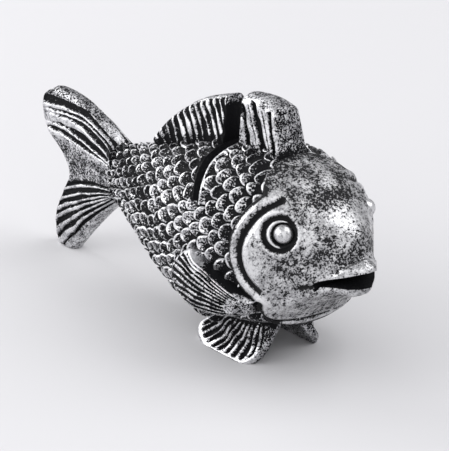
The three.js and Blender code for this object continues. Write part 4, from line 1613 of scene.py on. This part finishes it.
@dataclass
class PelvicFin:
    """A belly fin that serves as a foot, splayed outwards and flat where it stands."""

    shape: BodyShape
    side: Side
    spread: float = 6.4  # how far off the middle it stands
    splay: float = np.radians(37.5)
    thick: float = 1.3
    count: float = 12.0
    root: tuple = (4.4, -3.4)  # its front and rear end in the belly
    root_power: float = 1.7  # above 1, the root's points crowd in front
    ray_power: float = 1.25  # above 1, the rays grow wider in front
    sink: float = 2.2  # how deep the root lies in the belly
    rim: tuple = (
        (4.6, 3.2), (3.9, 1.1), (2.1, -0.4), (-1.2, -0.5),
        (-4.6, -0.4), (-7.1, 0.6), (-8.0, 2.0), (-6.9, 3.7),
    )
    rows: int = 90
    columns: int = 280

    def build(self, shop: Workshop, finish: AntiqueSilver) -> Object:
        """Makes the fin: a plate drawn on its outer face, from the root in the belly to the rim.

        Args:
            shop: where objects are made.
            finish: the metal.

        Returns:
            The fin.
        """
        s, t = shares(self.rows, self.columns)
        up = np.array([0, -np.sin(self.splay), np.cos(self.splay)])
        out = np.array([0, up[2], -up[1]])
        low = (self.shape.belly_line(np.array(self.root)) + self.sink) / up[2]
        root = through(np.stack([self.root, low], -1), t**self.root_power)
        end = through(self.rim, t)
        flat = mix(root, end, s[..., None])
        place = np.concatenate([flat, 0 * flat[..., :1]], -1)
        to_rim = (1 - s) * np.linalg.norm(end - root, axis=-1)
        edge = np.minimum(rounded(to_rim, 0.65), rounded(np.minimum(t, 1 - t) * (7.8 + 12.0 * s), 0.65))
        uneven = np.maximum(t + 0.012 * wobble(place, 3.0, 61), 0) ** self.ray_power
        depth, _ = rays(uneven, self.count, 0.54 + 0.16 * wobble(place, 3.2, 62))
        depth = depth * smoothstep(0.16, 0.26, s) * smoothstep(0.8, 1.4, to_rim) * smoothstep(0.07, 0.10, t)
        relief = 0.30 - 1.6 * depth + 0.5 * smoothstep(1.4, 0.6, to_rim)
        relief -= 0.9 * smoothstep(0.30, 0.16, s) + 0.6 * smoothstep(0.16, 0.06, t)
        outer = self.thick / 2 - 0.45 * depth + 1.7 * smoothstep(0.75, 0.1, s)
        sheets = []
        for across in (outer * edge, -self.thick / 2 * edge):
            point = flat[..., 1:] * up + (across - self.thick / 2)[..., None] * out
            x, y, z = flat[..., 0], self.side.value * (self.spread + point[..., 1]), point[..., 2]
            sheets.append(np.stack([x, y, np.maximum(z, TABLE)], -1))
        return shop.cast(f"{self.side.label}_pelvic_fin", sheets, (relief, 0 * relief + 0.1), finish)


# ------------------------------------------------------------ studio


@dataclass(frozen=True)
class Lamp:
    """A square soft lamp: its place and side in metres, and its power in watts."""

    name: str
    at: tuple
    size: float
    watts: float


@dataclass
class Studio:
    """A pale table, soft light and the camera."""

    floor_colour: tuple = (0.63, 0.627, 0.64, 1.0)
    sky_colour: tuple = (0.95, 0.95, 0.98, 1.0)
    sky_strength: float = 0.62
    lamps: tuple = (
        Lamp("above", (0.27, 0.27, 0.47), 0.55, 1.9),
        Lamp("side", (-0.20, -0.52, 0.28), 0.50, 2.3),
        Lamp("front", (0.46, -0.40, 0.28), 0.60, 0.9),
        Lamp("behind", (-0.42, -0.06, 0.22), 0.40, 1.2),
    )
    lit: tuple = (0, 0, 0.015)
    eye: tuple = (336.05, -277.27, 199.86)
    look_at: tuple = (-8.8, 0.0, 13.85)
    focal_pixels: float = 3692.3
    image_width: int = 449
    film_width: float = 36.0

    def floor(self) -> None:
        """A wide table top under the fish."""
        bpy.ops.mesh.primitive_plane_add(size=6.0, location=(0, 0, 0))
        plane = bpy.context.object
        plane.name = "table"
        sockets = {"Base Color": self.floor_colour, "Roughness": 0.85, "Specular IOR Level": 0.1}
        plane.data.materials.append(Bench("pale table").finish(sockets))

    def stand(self, name: str, data: bpy.types.ID, at: Vector, towards: Vector) -> Object:
        """Puts up a lamp or the camera.

        Args:
            name: its name.
            data: the lamp or camera.
            at: its place in metres.
            towards: what it points at.

        Returns:
            The object.
        """
        thing = bpy.data.objects.new(name, data)
        thing.location = at
        thing.rotation_euler = (towards - at).to_track_quat("-Z", "Y").to_euler()
        bpy.context.scene.collection.objects.link(thing)
        return thing

    def light(self) -> None:
        """Soft daylight all round and four broad lamps."""
        world = bpy.data.worlds.new("studio")
        world.use_nodes = True
        back = world.node_tree.nodes["Background"]
        back.inputs["Color"].default_value = self.sky_colour
        back.inputs["Strength"].default_value = self.sky_strength
        bpy.context.scene.world = world
        for lamp in self.lamps:
            light = bpy.data.lights.new(lamp.name, "AREA")
            light.shape, light.size, light.energy = "SQUARE", lamp.size, lamp.watts
            self.stand(lamp.name, light, Vector(lamp.at), Vector(self.lit))

    def camera(self, shop: Workshop) -> None:
        """A long lens, at the photograph's angle.

        Args:
            shop: knows where the fish is in the frame.
        """
        lens = bpy.data.cameras.new("camera")
        lens.sensor_fit, lens.sensor_width = "HORIZONTAL", self.film_width
        lens.lens = self.focal_pixels / self.image_width * self.film_width
        lens.clip_start, lens.clip_end = 0.01, 20.0
        eye, target = (Vector(shop.metres(np.array(p))) for p in (self.eye, self.look_at))
        bpy.context.scene.camera = self.stand("camera", lens, eye, target)


# ------------------------------------------------------------ the whole fish


def keep(piece: Object, slot: Slot, *nodes: str) -> None:
    """Ties a piece to the fish, hides the nodes that it replaces, and reports it with their names.

    Args:
        piece: the piece.
        slot: the record's finish for it; not used.
        nodes: the record's nodes that it replaces.
    """
    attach(piece, "root")
    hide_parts(*nodes)
    log.info("%s: %d faces, stands for %s", piece.name, len(piece.data.polygons), ", ".join(nodes))


def dorsal_fins(shape: BodyShape) -> list[DorsalFin]:
    """The rayed fin behind the slot, and the thick one before it.

    Args:
        shape: the plain body that they stand on.

    Returns:
        Both fins.
    """
    rear = DorsalFin(
        "rear_dorsal_fin", shape, root=(-21.8, -1.4), lean=(1.8, 4.6), root_half=(1.1, 2.5), top_half=1.5,
        height=((-24.0, 0.3), (-19.6, 3.2), (-13.6, 5.4), (-6.0, 6.2)), ends=(0.9, 0.35), root_black=1.1,
        before_slot=True, slot_at=-6.3, groove_depth=0.45, count=14, columns=420,
    )
    front = DorsalFin(
        "front_dorsal_fin", shape, root=(-2.7, 5.5), lean=(5.0, 1.7), root_half=(2.5, 2.5), top_half=1.95,
        height=((-8.0, 6.6), (0.0, 6.4), (3.6, 5.9)), ends=(0.35, 0.6), root_black=0.4,
        before_slot=False, slot_at=-3.2, groove_depth=0.6,
        grooves=(
            ((-2.6, 32.5), (-1.0, 28.4), 0.44), ((-1.6, 33.2), (0.3, 29.0), 0.11),
            ((-0.5, 33.3), (1.9, 28.4), 0.56), ((1.3, 33.0), (2.9, 28.6), 0.13),
            ((2.6, 33.2), (4.0, 28.2), 0.36),
        ),
    )
    return [rear, front]


def main() -> None:
    """Builds the fish piece by piece, then the studio."""
    logging.basicConfig(level=logging.INFO, format="%(message)s")
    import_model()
    shape, line = BodyShape(), HeadLine()
    shop = Workshop(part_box("body")[0].x / MM - shape.tail_end)
    silver = AntiqueSilver()
    lining = Recess().dress(Bench("recess"))

    keep(Trunk(shape, line, ScalePattern()).build(shop, silver, lining), Slot.ANTIQUE, "body")
    head = Head(shape, line)
    keep(head.build(shop, BrushedHead(), lining), Slot.ANTIQUE, "body")
    for fin in dorsal_fins(shape):
        keep(fin.build(shop, silver), Slot.ANTIQUE, fin.name)
    keep(TailFin(shape).build(shop, silver), Slot.ANTIQUE, "tail_fin")
    for side in Side:
        keep(head.bead_of(shop, side, PolishedSilver()), Slot.POLISHED, f"{side.label}_eye")
        keep(PectoralFin(shape, side).build(shop, silver), Slot.ANTIQUE, f"{side.label}_pectoral_fin")
        keep(PelvicFin(shape, side).build(shop, silver), Slot.ANTIQUE, f"{side.label}_pelvic_fin")

    studio = Studio()
    studio.floor()
    studio.light()
    studio.camera(shop)
    bpy.context.scene.view_settings.view_transform = "Standard"


if __name__ == "__main__":
    main()
